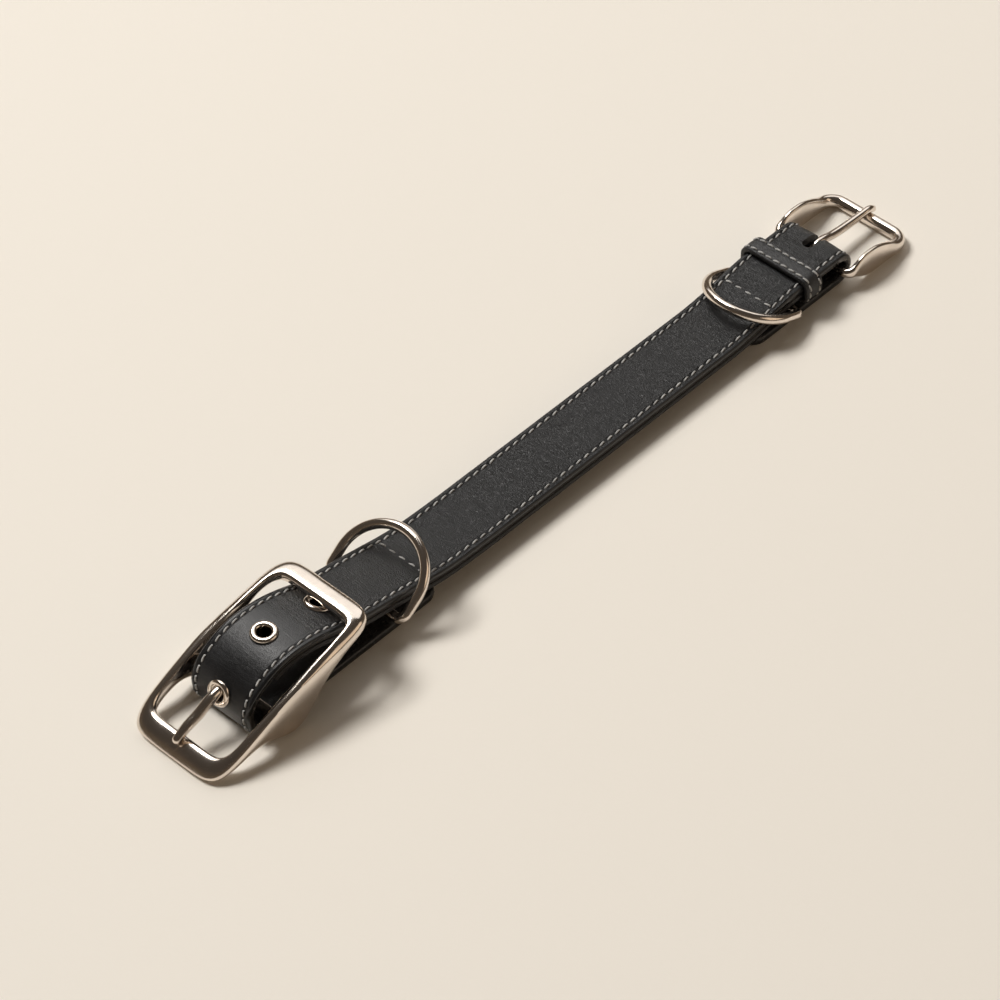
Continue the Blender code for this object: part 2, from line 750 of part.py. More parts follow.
def ring_outline():
    """Flat D outline as (along, across) points: bar, corners, arms and a round arch."""
    half = RING_HALF_WIDTH
    corner = RING_CORNER
    turns = [math.radians(90 * part / 3) for part in range(4)]
    points = [(corner - corner * math.cos(turn), corner - half - corner * math.sin(turn)) for turn in turns]
    for part in range(RING_ARCH_PARTS + 1):
        angle = math.radians(-90 + 180 * part / RING_ARCH_PARTS)
        reach = (RING_DEPTH - RING_ARM) * math.cos(angle)
        points.append((RING_ARM + reach, half * math.sin(angle)))
    points += [(corner - corner * math.sin(turn), half - corner + corner * math.cos(turn)) for turn in turns]
    return points


def build_ring(name, x, z, lift, side, group):
    """A D-ring whose origin is on its bar; side is +1 or -1 for where its arch points."""
    points = [(side * along, across, 0.0) for along, across in ring_outline()]
    ring = wire(name, points, RING_WIRE_RADIUS, True, group)
    ring.data.materials.append(nickel(name))
    ring.location = (x, 0.0, z)
    ring.rotation_euler = (0.0, -side * lift, 0.0)
    return ring


def build_keeper(group):
    """The keeper: a flat leather band closed round the strap's two plies."""
    strap_bottom = FAR_FOLD_TOP - BOTH_PLIES
    inner_y = HALF_STRAP + KEEPER_SIDE_GAP
    inner_top = FAR_FOLD_TOP + KEEPER_TOP_GAP
    inner_bottom = strap_bottom - KEEPER_BASE_GAP
    middle_z = (inner_top + inner_bottom) / 2
    half_thickness = KEEPER_THICKNESS / 2
    half_y = inner_y + half_thickness
    half_z = (inner_top - inner_bottom) / 2 + half_thickness
    keeper_x = FAR_RING_X + KEEPER_FROM_RING
    corner = KEEPER_CORNER
    plan = []
    for quadrant in range(4):
        sign_y = (1, -1, -1, 1)[quadrant]
        sign_z = (1, 1, -1, -1)[quadrant]
        for part in range(CORNER_PARTS + 1):
            angle = math.radians(90 * quadrant + 90 * part / CORNER_PARTS)
            normal = Vector((math.cos(angle), math.sin(angle)))
            hub = Vector((sign_y * (half_y - corner), sign_z * (half_z - corner)))
            plan.append((hub + corner * normal, normal))
    half_length = KEEPER_LENGTH / 2
    trim = KEEPER_TRIM
    outline = (
        (-half_length + trim, half_thickness),
        (half_length - trim, half_thickness),
        (half_length, half_thickness - trim),
        (half_length, -half_thickness),
        (-half_length, -half_thickness),
        (-half_length, half_thickness - trim),
    )
    sections = []
    for spot, normal in plan:
        section = []
        for along, across in outline:
            place = spot + normal * across
            section.append((keeper_x + along, place.x, middle_z + place.y))
        sections.append(section)
    return link_mesh("keeper_loop", loft(sections, True), leather("keeper_loop"), group)


def main():
    clear_scene()
    collar = new_collection("dog_collar")
    cutters = new_collection("cutters")
    outer = build_outer_ply(collar)
    lining = build_lining(collar)
    punch_eyelet_holes(outer, lining, cutters)
    cut_prong_slot(outer, cutters)
    for row, seat in eyelet_seats():
        build_eyelet(row, seat, collar)
    build_near_frame(collar, cutters)
    build_prong("near_prong", near_prong_knots(), (NEAR_BAR_X, 0.0, NEAR_BAR_Z), NEAR_EYE_RADIUS,
                NEAR_BAR_RADIUS, collar, cutters)
    build_far_frame(collar)
    build_prong("far_prong", far_prong_knots(), (HEEL_BAR_X, 0.0, HEEL_BAR_Z), FAR_EYE_RADIUS,
                HEEL_BAR_RADIUS, collar, cutters)
    near_ring_z = top_height(NEAR_RING_X) - BOTH_PLIES - RING_WIRE_RADIUS - RING_SEAT_GAP
    build_ring("near_ring", NEAR_RING_X, near_ring_z, NEAR_RING_LIFT, 1, collar)
    build_ring("far_ring", FAR_RING_X, FAR_RING_Z, FAR_RING_LIFT, -1, collar)
    build_keeper(collar)


main()
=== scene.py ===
"""A black leather dog collar with nickel buckles, dressed over its solid model and laid on a pale
floor. Lengths are in metres. X runs along the strap, Y across it and Z is up."""

import math

import bmesh
import bpy
import numpy as np
from mathutils import Matrix, Vector, noise


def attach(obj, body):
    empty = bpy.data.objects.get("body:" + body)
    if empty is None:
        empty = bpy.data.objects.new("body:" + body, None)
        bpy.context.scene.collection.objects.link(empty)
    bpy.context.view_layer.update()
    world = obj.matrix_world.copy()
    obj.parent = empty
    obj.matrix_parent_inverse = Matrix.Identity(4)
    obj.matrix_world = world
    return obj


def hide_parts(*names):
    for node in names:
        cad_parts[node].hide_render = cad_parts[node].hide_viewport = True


bl_info = {
    "name": "Dog Collar",
    "version": (1, 0, 0),
    "blender": (4, 5, 0),
    "location": "View3D > Sidebar > Collar",
    "description": "Builds a leather dog collar with two buckles, D-rings, eyelets and stitching",
    "category": "Object",
}

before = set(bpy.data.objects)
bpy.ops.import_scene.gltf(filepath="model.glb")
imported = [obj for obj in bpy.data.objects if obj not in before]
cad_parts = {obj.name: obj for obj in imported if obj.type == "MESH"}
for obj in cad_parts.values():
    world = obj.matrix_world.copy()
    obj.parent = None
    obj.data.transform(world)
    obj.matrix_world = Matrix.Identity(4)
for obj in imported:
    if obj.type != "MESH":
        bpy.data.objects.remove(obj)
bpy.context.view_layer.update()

# Sizes of the leather, as in the solid model but for its width
HALF_STRAP = 0.0132
OUTER_PLY = 0.003
LINING_PLY = 0.0022
FIT_GAP = 0.0003
TAB_CORNER_RADIUS = 0.006
STRAP_TOP = 0.0088
NEAR_FOLD_X = -0.153
NEAR_FOLD_RADIUS = 0.007
NEAR_RISE_LENGTH = 0.119
NEAR_RISE_HEIGHT = 0.016
FAR_FOLD_X = 0.1396
FAR_FOLD_TOP = 0.013
FAR_RISE_LENGTH = 0.0556
NEAR_TAB_X = -0.0652
FAR_TAB_X = 0.093
LINING_NEAR_X = -0.142
LINING_NEAR_Z = 0.0227
LINING_FAR_X = 0.129

NEAR_RISE_ROWS = (
    (-0.0017, 0.1125), (0.0067, 0.3563), (0.0303, 0.6000), (0.0672, 0.7875), (0.1092, 0.9250),
    (0.1597, 1.0000), (0.2185, 0.9875), (0.2773, 0.9125), (0.3361, 0.7750), (0.3950, 0.6125),
    (0.4790, 0.4750), (0.5546, 0.3750), (0.6303, 0.2625), (0.7143, 0.1313), (0.7983, 0.0438),
    (0.9160, 0.0063), (1.0000, 0.0000),
)
FAR_RISE_ROWS = (
    (0.000, 0.000), (0.180, 0.190), (0.342, 0.548), (0.545, 0.952), (0.683, 1.000),
    (0.827, 1.000), (1.000, 1.000),
)

EYELETS = (
    {"name": "eyelet_prong", "reach": 0.00634, "depth": 0.0030},
    {"name": "eyelet_middle", "reach": 0.03103, "depth": 0.0055},
    {"name": "eyelet_bar", "reach": 0.05520, "depth": 0.0055},
)
EYELET_HOLE_RADIUS = 0.0032
EYELET_BORE_RADIUS = 0.0024
EYELET_BARREL_RADIUS = 0.0029
EYELET_FLANGE_RADIUS = 0.0047
EYELET_ROLL_HEIGHT = 0.0011

NEAR_BAR = (-0.145, 0.0085)
NEAR_BAR_RADIUS = 0.0020
NEAR_FRAME_X = -0.1385
NEAR_FRAME_HALF_LENGTH = 0.0331
NEAR_FRAME_HALF_WIDTH = 0.0192
NEAR_FRAME_NEAR_TOP = 0.0062
NEAR_FRAME_FAR_TOP = 0.02565
NEAR_FRAME_ARCH = 0.0022
NEAR_FRAME_END_DEPTH = 0.0066
NEAR_RIM_HALF_LENGTH = 0.0368
NEAR_RIM_HALF_WIDTH = 0.0208
NEAR_WINDOW_HALF_LENGTH = 0.0288
NEAR_WINDOW_HALF_WIDTH = 0.0170
NEAR_WINDOW_SHIFT = -0.0004
NEAR_RIM_POWER = 6.5
NEAR_WINDOW_POWER = 9.0
NEAR_FRAME_STATIONS = 240
NEAR_BAR_DEPTH = 0.0034
NEAR_BAR_CROWN = 0.0008
NEAR_END_DROP = 0.0036
FAR_END_DROP = 0.0014
NOTCH_LENGTH = 0.0106
NEAR_SKIRT_ROWS = (
    (-1.133, 0.021), (-0.801, 0.068), (-0.529, 0.126), (-0.257, 0.053), (-0.015, 0.016),
    (0.136, 0.074), (0.317, 0.337), (0.529, 0.684), (0.740, 0.958), (1.133, 1.000),
)
NEAR_PRONG_KNOTS = (
    (-0.1465, 0.0112), (-0.1490, 0.0131), (-0.1528, 0.0144), (-0.1572, 0.0136),
    (-0.1625, 0.0110), (-0.1675, 0.0094), (-0.1718, 0.0071),
)
NEAR_EYE_RADIUS = 0.0037

HEEL_BAR = (0.1399, 0.0065)
HEEL_BAR_RADIUS = 0.0016
FRONT_BAR_X = 0.1719
FAR_FRAME_HALF_WIDTH = 0.0170
HEEL_CORNER = 0.0030
FRONT_CORNER = 0.0058
FAR_FRAME_ROWS = (
    (0.1399, 0.0081, 0.0049, 0.0016), (0.1430, 0.0094, 0.0042, 0.0013),
    (0.1460, 0.0108, 0.0022, 0.0011), (0.1500, 0.0114, 0.0006, 0.0011),
    (0.1550, 0.0109, 0.0003, 0.0011), (0.1610, 0.0086, 0.0003, 0.0013),
    (0.1660, 0.0062, 0.0003, 0.0018), (0.1719, 0.0050, 0.0003, 0.0024),
)
FAR_PRONG_KNOTS = (
    (0.1403, 0.0086), (0.1418, 0.0094), (0.1440, 0.0097), (0.1468, 0.0093), (0.1500, 0.0084),
    (0.1550, 0.0077), (0.1608, 0.0073), (0.1679, 0.0071), (0.1716, 0.0070), (0.1738, 0.0060),
)
FAR_EYE_RADIUS = 0.0028
NEAR_PRONG_RADIUS = 0.0018
FAR_PRONG_RADIUS = 0.0015
PRONG_EYE_WIDTH = 0.0036
SLOT_START_X = 0.1350
SLOT_FLOOR_Z = 0.0062
SLOT_WIDTH = 0.0044

RING_WIRE_RADIUS = 0.0018
RING_DEPTH = 0.0250
RING_ARM = 0.0085
RING_CORNER = 0.0030
RINGS = (
    {"name": "near_ring", "x": -0.0875, "z": 0.00719, "lift": 39.0, "side": 1, "half": 0.0170},
    {"name": "far_ring", "x": 0.1143, "z": 0.0052, "lift": 22.0, "side": -1, "half": 0.0161},
)

KEEPER_X = 0.1225
KEEPER_LENGTH = 0.0083
KEEPER_THICKNESS = 0.0020
KEEPER_CORNER = 0.0031
KEEPER_SIDE_GAP = 0.0004
KEEPER_TOP_GAP = 0.0007
KEEPER_GROOVE = 0.00028
KEEPER_STITCH_INSET = 0.0016
KEEPER_STITCH_PITCH = 0.0036

FLOOR_HALF_WIDTH = 3.0
FLOOR_Z = -0.0001

# Edges sharper than these angles, in degrees, stay sharp
LEATHER_EDGE = 50.0
METAL_EDGE = 60.0

# Camera, from the fit of the strap's stitch lines
CAMERA_PLACE = (-0.6846, -0.6160, 0.9283)
CAMERA_RIGHT = (0.6814, -0.7319, 0.0)
CAMERA_UP = (0.5235, 0.4873, 0.6989)
CAMERA_FORWARD = (0.5115, 0.4762, -0.7152)
CAMERA_LENS = 139.2
CAMERA_SENSOR = 36.0

# Seams, stitches, finishes and the painted shade inside the eyelets
PAINTED_BORDER = 0.0014
POLISHED_HUMP_X = (-0.110, -0.126)
# Painted shade for the inside of the eyelets' bores
BORE_SHADE_COLOR = (0.035, 0.022, 0.014)
SEAM_XS = (-0.0697, 0.1044)
SEAM_HALF_WIDTH = 0.0088
SEAM_LOOK_Z = 0.012
SEAM_WIDTH = 0.00042
SEAM_DEPTH = 0.00022
SEAM_STITCH_PITCH = 0.0043
STITCH_SINK = 0.00008

STUDIO_LIGHTS = (
    {"name": "key", "place": (-0.95, 2.45, 3.65), "size": (1.5, 1.5),
     "color": (1.0, 0.985, 0.965), "hidden": "visible_glossy"},
    {"name": "strip", "place": (0.50, 1.20, 2.15), "size": (0.9, 1.2),
     "color": (1.0, 0.98, 0.95), "hidden": "visible_diffuse"},
    {"name": "window", "place": (1.35, 1.20, 1.75), "size": (2.7, 1.7),
     "color": (1.0, 0.98, 0.95), "hidden": None},
    {"name": "fill", "place": (0.9, -1.7, 1.1), "size": (1.6, 1.2),
     "color": (1.0, 0.80, 0.60), "hidden": None},
)


class CollarLeather(bpy.types.PropertyGroup):
    """Sizes and colours of the leather and its stitching"""

    color: bpy.props.FloatVectorProperty(
        name="Leather", description="Colour of the leather", subtype="COLOR", size=3,
        min=0.0, max=1.0, default=(0.0085, 0.0085, 0.0090))
    thread_color: bpy.props.FloatVectorProperty(
        name="Thread", description="Colour of the stitching", subtype="COLOR", size=3,
        min=0.0, max=1.0, default=(0.60, 0.59, 0.565))
    stitch_inset: bpy.props.FloatProperty(
        name="Stitch inset", description="From the strap's edge to its stitch row",
        unit="LENGTH", default=0.0024)
    stitch_pitch: bpy.props.FloatProperty(
        name="Stitch pitch", description="From one stitch to the next", unit="LENGTH",
        default=0.0039)
    stitch_length: bpy.props.FloatProperty(
        name="Stitch length", description="Length of one stitch", unit="LENGTH", default=0.0027)
    stitch_slant: bpy.props.FloatProperty(
        name="Stitch slant", description="Turn of each stitch out of its row",
        subtype="ANGLE", default=math.radians(9.0))
    thread_radius: bpy.props.FloatProperty(
        name="Thread radius", description="Half the thread's thickness", unit="LENGTH",
        default=0.00034)
    groove_depth: bpy.props.FloatProperty(
        name="Groove depth", description="Depth of the groove that the stitches lie in",
        unit="LENGTH", default=0.00034)
    crown: bpy.props.FloatProperty(
        name="Crown", description="How far the middle of the strap stands proud",
        unit="LENGTH", default=0.00022)


class CollarMetal(bpy.types.PropertyGroup):
    """Colour and polish of the hardware"""

    color: bpy.props.FloatVectorProperty(
        name="Nickel", description="Colour of the nickel plating", subtype="COLOR", size=3,
        min=0.0, max=1.0, default=(0.80, 0.72, 0.645))
    roughness: bpy.props.FloatProperty(
        name="Roughness", description="How dull the plating is", subtype="FACTOR",
        min=0.0, max=1.0, default=0.13)


class CollarStage(bpy.types.PropertyGroup):
    """Floor and studio light"""

    floor_color: bpy.props.FloatVectorProperty(
        name="Floor", description="Colour of the floor", subtype="COLOR", size=3,
        min=0.0, max=1.0, default=(0.85, 0.80, 0.72))
    key_power: bpy.props.FloatProperty(
        name="Key light", description="Power of the main soft light, in watts", default=184.0)
    window_power: bpy.props.FloatProperty(
        name="Window light", description="Power of the broad light behind the collar, in watts",
        default=17.0)
    strip_power: bpy.props.FloatProperty(
        name="Strip light", description="Power of the light that the leather shines with, in watts",
        default=36.0)
    fill_power: bpy.props.FloatProperty(
        name="Fill light", description="Power of the warm light in front, in watts",
        default=5.0)
    room_strength: bpy.props.FloatProperty(
        name="Room light", description="Strength of the light from all round", default=0.11)


def leather_settings():
    return bpy.context.scene.collar_leather


def metal_settings():
    return bpy.context.scene.collar_metal


def stage_settings():
    return bpy.context.scene.collar_stage


# Lines and meshes


def smooth_line(knots, step):
    """Points of a Catmull-Rom curve through knots, about a step apart."""
    knots = [Vector(knot) for knot in knots]
    ends = [2 * knots[0] - knots[1]] + knots + [2 * knots[-1] - knots[-2]]
    points = []
    for index in range(1, len(ends) - 2):
        before, first, second, after = ends[index - 1:index + 3]
        parts = max(1, round((second - first).length / step))
        for part in range(parts):
            t = part / parts
            points.append(0.5 * (2 * first + (second - before) * t
                                 + (2 * before - 5 * first + 4 * second - after) * t ** 2
                                 + (3 * first - before - 3 * second + after) * t ** 3))
    points.append(knots[-1])
    return points


def faired(rows, column):
    """A smooth function of the rows' first column that passes through another column."""
    line = smooth_line([(row[0], row[column]) for row in rows], (rows[-1][0] - rows[0][0]) / 200)
    places = [point.x for point in line]
    values = [point.y for point in line]
    return lambda x: float(np.interp(x, places, values))


def arc(center, radius, start, end, parts):
    """Points of an arc round a centre, angles in degrees."""
    angles = [math.radians(start + (end - start) * part / parts) for part in range(parts + 1)]
    return [Vector(center) + radius * Vector((math.cos(angle), math.sin(angle)))
            for angle in angles]


class Line:
    """A line in the X-Z plane, read by the distance along it."""

    def __init__(self, points):
        spots = np.array([tuple(point) for point in points])
        keep = [0]
        for index in range(1, len(spots)):
            if np.linalg.norm(spots[index] - spots[keep[-1]]) > 1e-6:
                keep.append(index)
        spots = spots[keep]
        steps = np.linalg.norm(np.diff(spots, axis=0), axis=1)
        self.reach = np.concatenate(([0.0], np.cumsum(steps)))
        self.spots = spots
        self.length = float(self.reach[-1])

    def at(self, reach):
        """Point at a distance along the line."""
        return Vector((np.interp(reach, self.reach, self.spots[:, 0]),
                       np.interp(reach, self.reach, self.spots[:, 1])))

    def normal(self, reach):
        """Unit normal that points out of the strap."""
        span = 0.0007
        along = (self.at(min(reach + span, self.length)) - self.at(max(reach - span, 0.0)))
        along.normalize()
        return Vector((-along.y, along.x))

    def reach_of(self, x, z):
        """Distance along the line of its point nearest to x, z."""
        gaps = np.hypot(self.spots[:, 0] - x, self.spots[:, 1] - z)
        return float(self.reach[int(np.argmin(gaps))])


def turns(sides):
    """Angles that divide a full turn evenly."""
    return [2 * math.pi * side / sides for side in range(sides)]


def under(point, normal, depth, y):
    """Place at a depth under a point of a line, at y across it."""
    return (point.x - normal.x * depth, y, point.y - normal.y * depth)


def round_section(center, along, radius):
    """Round section of a bar whose middle line runs in the X-Z plane."""
    normal = Vector((-along.y, along.x))
    return [under(center, normal, -radius * math.sin(turn), radius * math.cos(turn))
            for turn in turns(24)]


def top_points():
    """The strap's top face, from the side of the near fold to the far fold."""
    near = [(NEAR_FOLD_X, NEAR_FOLD_RADIUS)]
    near += [(NEAR_FOLD_X + run * NEAR_RISE_LENGTH, STRAP_TOP + rise * NEAR_RISE_HEIGHT)
             for run, rise in NEAR_RISE_ROWS]
    far = [(FAR_FOLD_X - (1 - run) * FAR_RISE_LENGTH, STRAP_TOP + rise * (FAR_FOLD_TOP - STRAP_TOP))
           for run, rise in FAR_RISE_ROWS]
    return smooth_line(near, 0.0004) + smooth_line(far, 0.0004)


def strap_points():
    """The outer face of the whole outer ply, from the near tab's end to the far tab's."""
    far_radius = FAR_FOLD_TOP / 2
    points = [Vector((NEAR_TAB_X, 0.0)), Vector((NEAR_FOLD_X + NEAR_FOLD_RADIUS, 0.0))]
    near_center = (NEAR_FOLD_X + NEAR_FOLD_RADIUS, NEAR_FOLD_RADIUS)
    points += arc(near_center, NEAR_FOLD_RADIUS, 270, 180, 24)
    points += top_points()
    points += arc((FAR_FOLD_X, far_radius), far_radius, 90, -90, 48)
    points.append(Vector((FAR_TAB_X, 0.0)))
    return points


def mesh_object(name, mesh_data, material, angle=40.0):
    """Put a bmesh into the scene as a smooth shaded object at the origin."""
    bmesh.ops.recalc_face_normals(mesh_data, faces=mesh_data.faces)
    mesh = bpy.data.meshes.new(name)
    mesh_data.to_mesh(mesh)
    mesh_data.free()
    mesh.shade_smooth()
    mesh.set_sharp_from_angle(angle=math.radians(angle))
    item = bpy.data.objects.new(name, mesh)
    bpy.context.scene.collection.objects.link(item)
    if material:
        mesh.materials.append(material)
    return item


def skin(name, sections, closed, material, angle=40.0):
    """An object from closed sections of equal point count, as a ring or with end caps."""
    mesh_data = bmesh.new()
    rings = [[mesh_data.verts.new(point) for point in section] for section in sections]
    count = len(sections[0])
    pairs = list(zip(rings, rings[1:]))
    if closed:
        pairs.append((rings[-1], rings[0]))
    for first, second in pairs:
        for index in range(count):
            after = (index + 1) % count
            mesh_data.faces.new((first[index], first[after], second[after], second[index]))
    if not closed:
        mesh_data.faces.new(rings[0])
        mesh_data.faces.new(rings[-1])
    return mesh_object(name, mesh_data, material, angle)


def mark(item, name, values):
    """Store a number for each vertex, for the materials to read."""
    layer = item.data.attributes.new(name, "FLOAT", "POINT")
    layer.data.foreach_set("value", values)


def rounded(outline, passes):
    """A closed outline with its corners cut again and again."""
    points = [Vector(point) for point in outline]
    for _ in range(passes):
        fresh = []
        for first, second in zip(points, points[1:] + points[:1]):
            fresh.append(first.lerp(second, 0.25))
            fresh.append(first.lerp(second, 0.75))
        points = fresh
    return points


def combine(target, other, operation):
    """Apply an exact Boolean and remove the second object."""
    modifier = target.modifiers.new("combine", "BOOLEAN")
    modifier.operation = operation
    modifier.solver = "EXACT"
    modifier.object = other
    bpy.context.view_layer.update()
    graph = bpy.context.evaluated_depsgraph_get()
    mesh = bpy.data.meshes.new_from_object(target.evaluated_get(graph))
    target.modifiers.remove(modifier)
    target.data = mesh
    bpy.data.objects.remove(other, do_unlink=True)
    mesh.shade_smooth()
    mesh.set_sharp_from_angle(angle=math.radians(40.0))


def rod(name, radius, length, matrix, sides):
    """A capped cylinder along the matrix's Z axis."""
    mesh_data = bmesh.new()
    bmesh.ops.create_cone(mesh_data, cap_ends=True, segments=sides, radius1=radius, radius2=radius,
                          depth=length, matrix=matrix)
    return mesh_object(name, mesh_data, None)


def seat_matrix(spot, normal):
    """Matrix that puts Z along a normal in the X-Z plane, at a spot."""
    z_axis = Vector((normal.x, 0.0, normal.y)).normalized()
    y_axis = Vector((0.0, 1.0, 0.0))
    x_axis = y_axis.cross(z_axis)
    turn = Matrix((x_axis, y_axis, z_axis)).transposed().to_4x4()
    return Matrix.Translation((spot.x, 0.0, spot.y)) @ turn


def dress(item, body, slot, *nodes):
    """Let a piece move with its body and stand for its solids; slot is not used."""
    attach(item, body)
    if nodes:
        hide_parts(*nodes)


# Materials


def group_socket(group, name, way, kind, value=None):
    """Add a named input or output to a node group."""
    socket = group.interface.new_socket(name=name, in_out=way, socket_type="NodeSocket" + kind)
    if value is not None:
        socket.default_value = value


def feed(tree, socket, value):
    """Link an input to a socket, or give it a plain value."""
    if isinstance(value, bpy.types.NodeSocket):
        tree.links.new(value, socket)
    else:
        socket.default_value = value


def node(tree, kind, place, inputs=(), **settings):
    """Add a node with its settings and a value or a socket for inputs by name or number."""
    made = tree.nodes.new(kind)
    made.location = place
    for name, value in settings.items():
        setattr(made, name, value)
    for name, value in dict(inputs).items():
        feed(tree, made.inputs[name], value)
    return made


def math_node(tree, operation, place, *values):
    """Result of a Math node whose inputs are numbers or sockets."""
    return node(tree, "ShaderNodeMath", place, enumerate(values), operation=operation).outputs[0]


def ramp_node(tree, place, value, start, end):
    """A value that rises smoothly from 0 at start to 1 at end."""
    made = node(tree, "ShaderNodeMapRange", place,
                {"Value": value, "From Min": start, "From Max": end},
                interpolation_type="SMOOTHSTEP")
    return made.outputs["Result"]


def noise_node(tree, place, vector, scale, detail=2.0, roughness=0.5):
    """A noise texture read at a vector."""
    return node(tree, "ShaderNodeTexNoise", place,
                {"Vector": vector, "Scale": scale, "Detail": detail, "Roughness": roughness})


def object_coords(tree, place):
    """The place on the piece, in metres."""
    return node(tree, "ShaderNodeTexCoord", place).outputs["Object"]


def mapped(tree, place, vector, scale, rotation=(0.0, 0.0, 0.0)):
    """A vector turned and scaled, so that a pattern stretches over the piece."""
    made = node(tree, "ShaderNodeMapping", place,
                {"Vector": vector, "Scale": scale, "Rotation": rotation})
    return made.outputs[0]


def mixed_color(tree, place, factor, first, second):
    """Mix two colours by a factor socket; a colour is a triple or a socket."""
    inputs = {"Factor": factor}
    for key, color in ((6, first), (7, second)):
        inputs[key] = color if isinstance(color, bpy.types.NodeSocket) else (*color, 1.0)
    return node(tree, "ShaderNodeMix", place, inputs, data_type="RGBA").outputs[2]


def relief(tree, place, height, strength, distance):
    """A normal that follows a height."""
    made = node(tree, "ShaderNodeBump", place,
                {"Height": height, "Strength": strength, "Distance": distance})
    return made.outputs[0]


def shader_group(name, sizes, results):
    """A new group of shader nodes with number inputs and outputs, and its first and last node."""
    group = bpy.data.node_groups.new(name, "ShaderNodeTree")
    for label, value in sizes.items():
        group_socket(group, label, "INPUT", "Float", value)
    for label in results:
        group_socket(group, label, "OUTPUT", "Float")
    start = node(group, "NodeGroupInput", (-1200, 0))
    return group, start, node(group, "NodeGroupOutput", (900, 0))


def leather_grain_group():
    """Pebbled grain, fine creases across the strap, and painted shade for the pebbles' valleys."""
    group, start, end = shader_group(
        "Leather grain", {"Pebbles per metre": 2500.0, "Crease strength": 0.9},
        ("Height", "Valleys"))
    coords = object_coords(group, (-1200, 300))
    wander = noise_node(group, (-1000, 300), coords, 420.0)
    push = node(group, "ShaderNodeVectorMath", (-800, 300),
                {0: wander.outputs["Color"], "Scale": 0.0011}, operation="SCALE")
    place = node(group, "ShaderNodeVectorMath", (-620, 300),
                 {0: coords, 1: push.outputs[0]}, operation="ADD").outputs[0]
    cells = node(group, "ShaderNodeTexVoronoi", (-220, 300),
                 {"Vector": mapped(group, (-440, 300), place, (1.0, 0.62, 1.0)),
                  "Scale": start.outputs["Pebbles per metre"]},
                 feature="DISTANCE_TO_EDGE").outputs["Distance"]
    pebbles = ramp_node(group, (0, 300), cells, 0.0, 0.34)
    stretched = mapped(group, (-440, -100), place, (1.0, 0.11, 1.0))
    creases = noise_node(group, (-220, -100), stretched, 1500.0, 3.0, 0.6)
    lines = ramp_node(group, (0, -100), creases.outputs["Fac"], 0.36, 0.62)
    weighted = math_node(group, "MULTIPLY", (200, -100), lines, start.outputs["Crease strength"])
    feed(group, end.inputs["Height"], math_node(group, "ADD", (400, 100), pebbles, weighted))
    # Painted shade: a mask for the valleys between the pebbles
    feed(group, end.inputs["Valleys"], ramp_node(group, (400, 300), cells, 0.10, 0.0))
    return group


def handling_group():
    """Slow patches and fine scuffs, for roughness and colour that vary over a surface."""
    group, start, end = shader_group(
        "Handling marks", {"Patch scale": 60.0, "Scuff scale": 900.0}, ("Patches", "Scuffs"))
    coords = object_coords(group, (-900, 300))
    patches = noise_node(group, (-500, 200), coords, start.outputs["Patch scale"], 4.0)
    patched = ramp_node(group, (-200, 200), patches.outputs["Fac"], 0.32, 0.68)
    feed(group, end.inputs["Patches"], patched)
    turned = mapped(group, (-700, -150), coords, (1.0, 0.08, 1.0), (0.4, 0.7, 0.6))
    scuffs = noise_node(group, (-500, -150), turned, start.outputs["Scuff scale"], 5.0)
    scuffed = ramp_node(group, (-200, -150), scuffs.outputs["Fac"], 0.55, 0.75)
    feed(group, end.inputs["Scuffs"], scuffed)
    return group


def place_group(tree, name, build, place, **inputs):
    """Put a shader group into a material, built on first use, and set its inputs."""
    group = bpy.data.node_groups.get(name) or build()
    values = {label.replace("_", " "): value for label, value in inputs.items()}
    return node(tree, "ShaderNodeGroup", place, values, node_tree=group)


def blank_material(name):
    """A new material with its node tree and its shader."""
    material = bpy.data.materials.new(name)
    material.use_nodes = True
    tree = material.node_tree
    return material, tree, tree.nodes["Principled BSDF"]


def shaded(color, share):
    """A colour with all its channels scaled."""
    return tuple(min(1.0, channel * share) for channel in color)


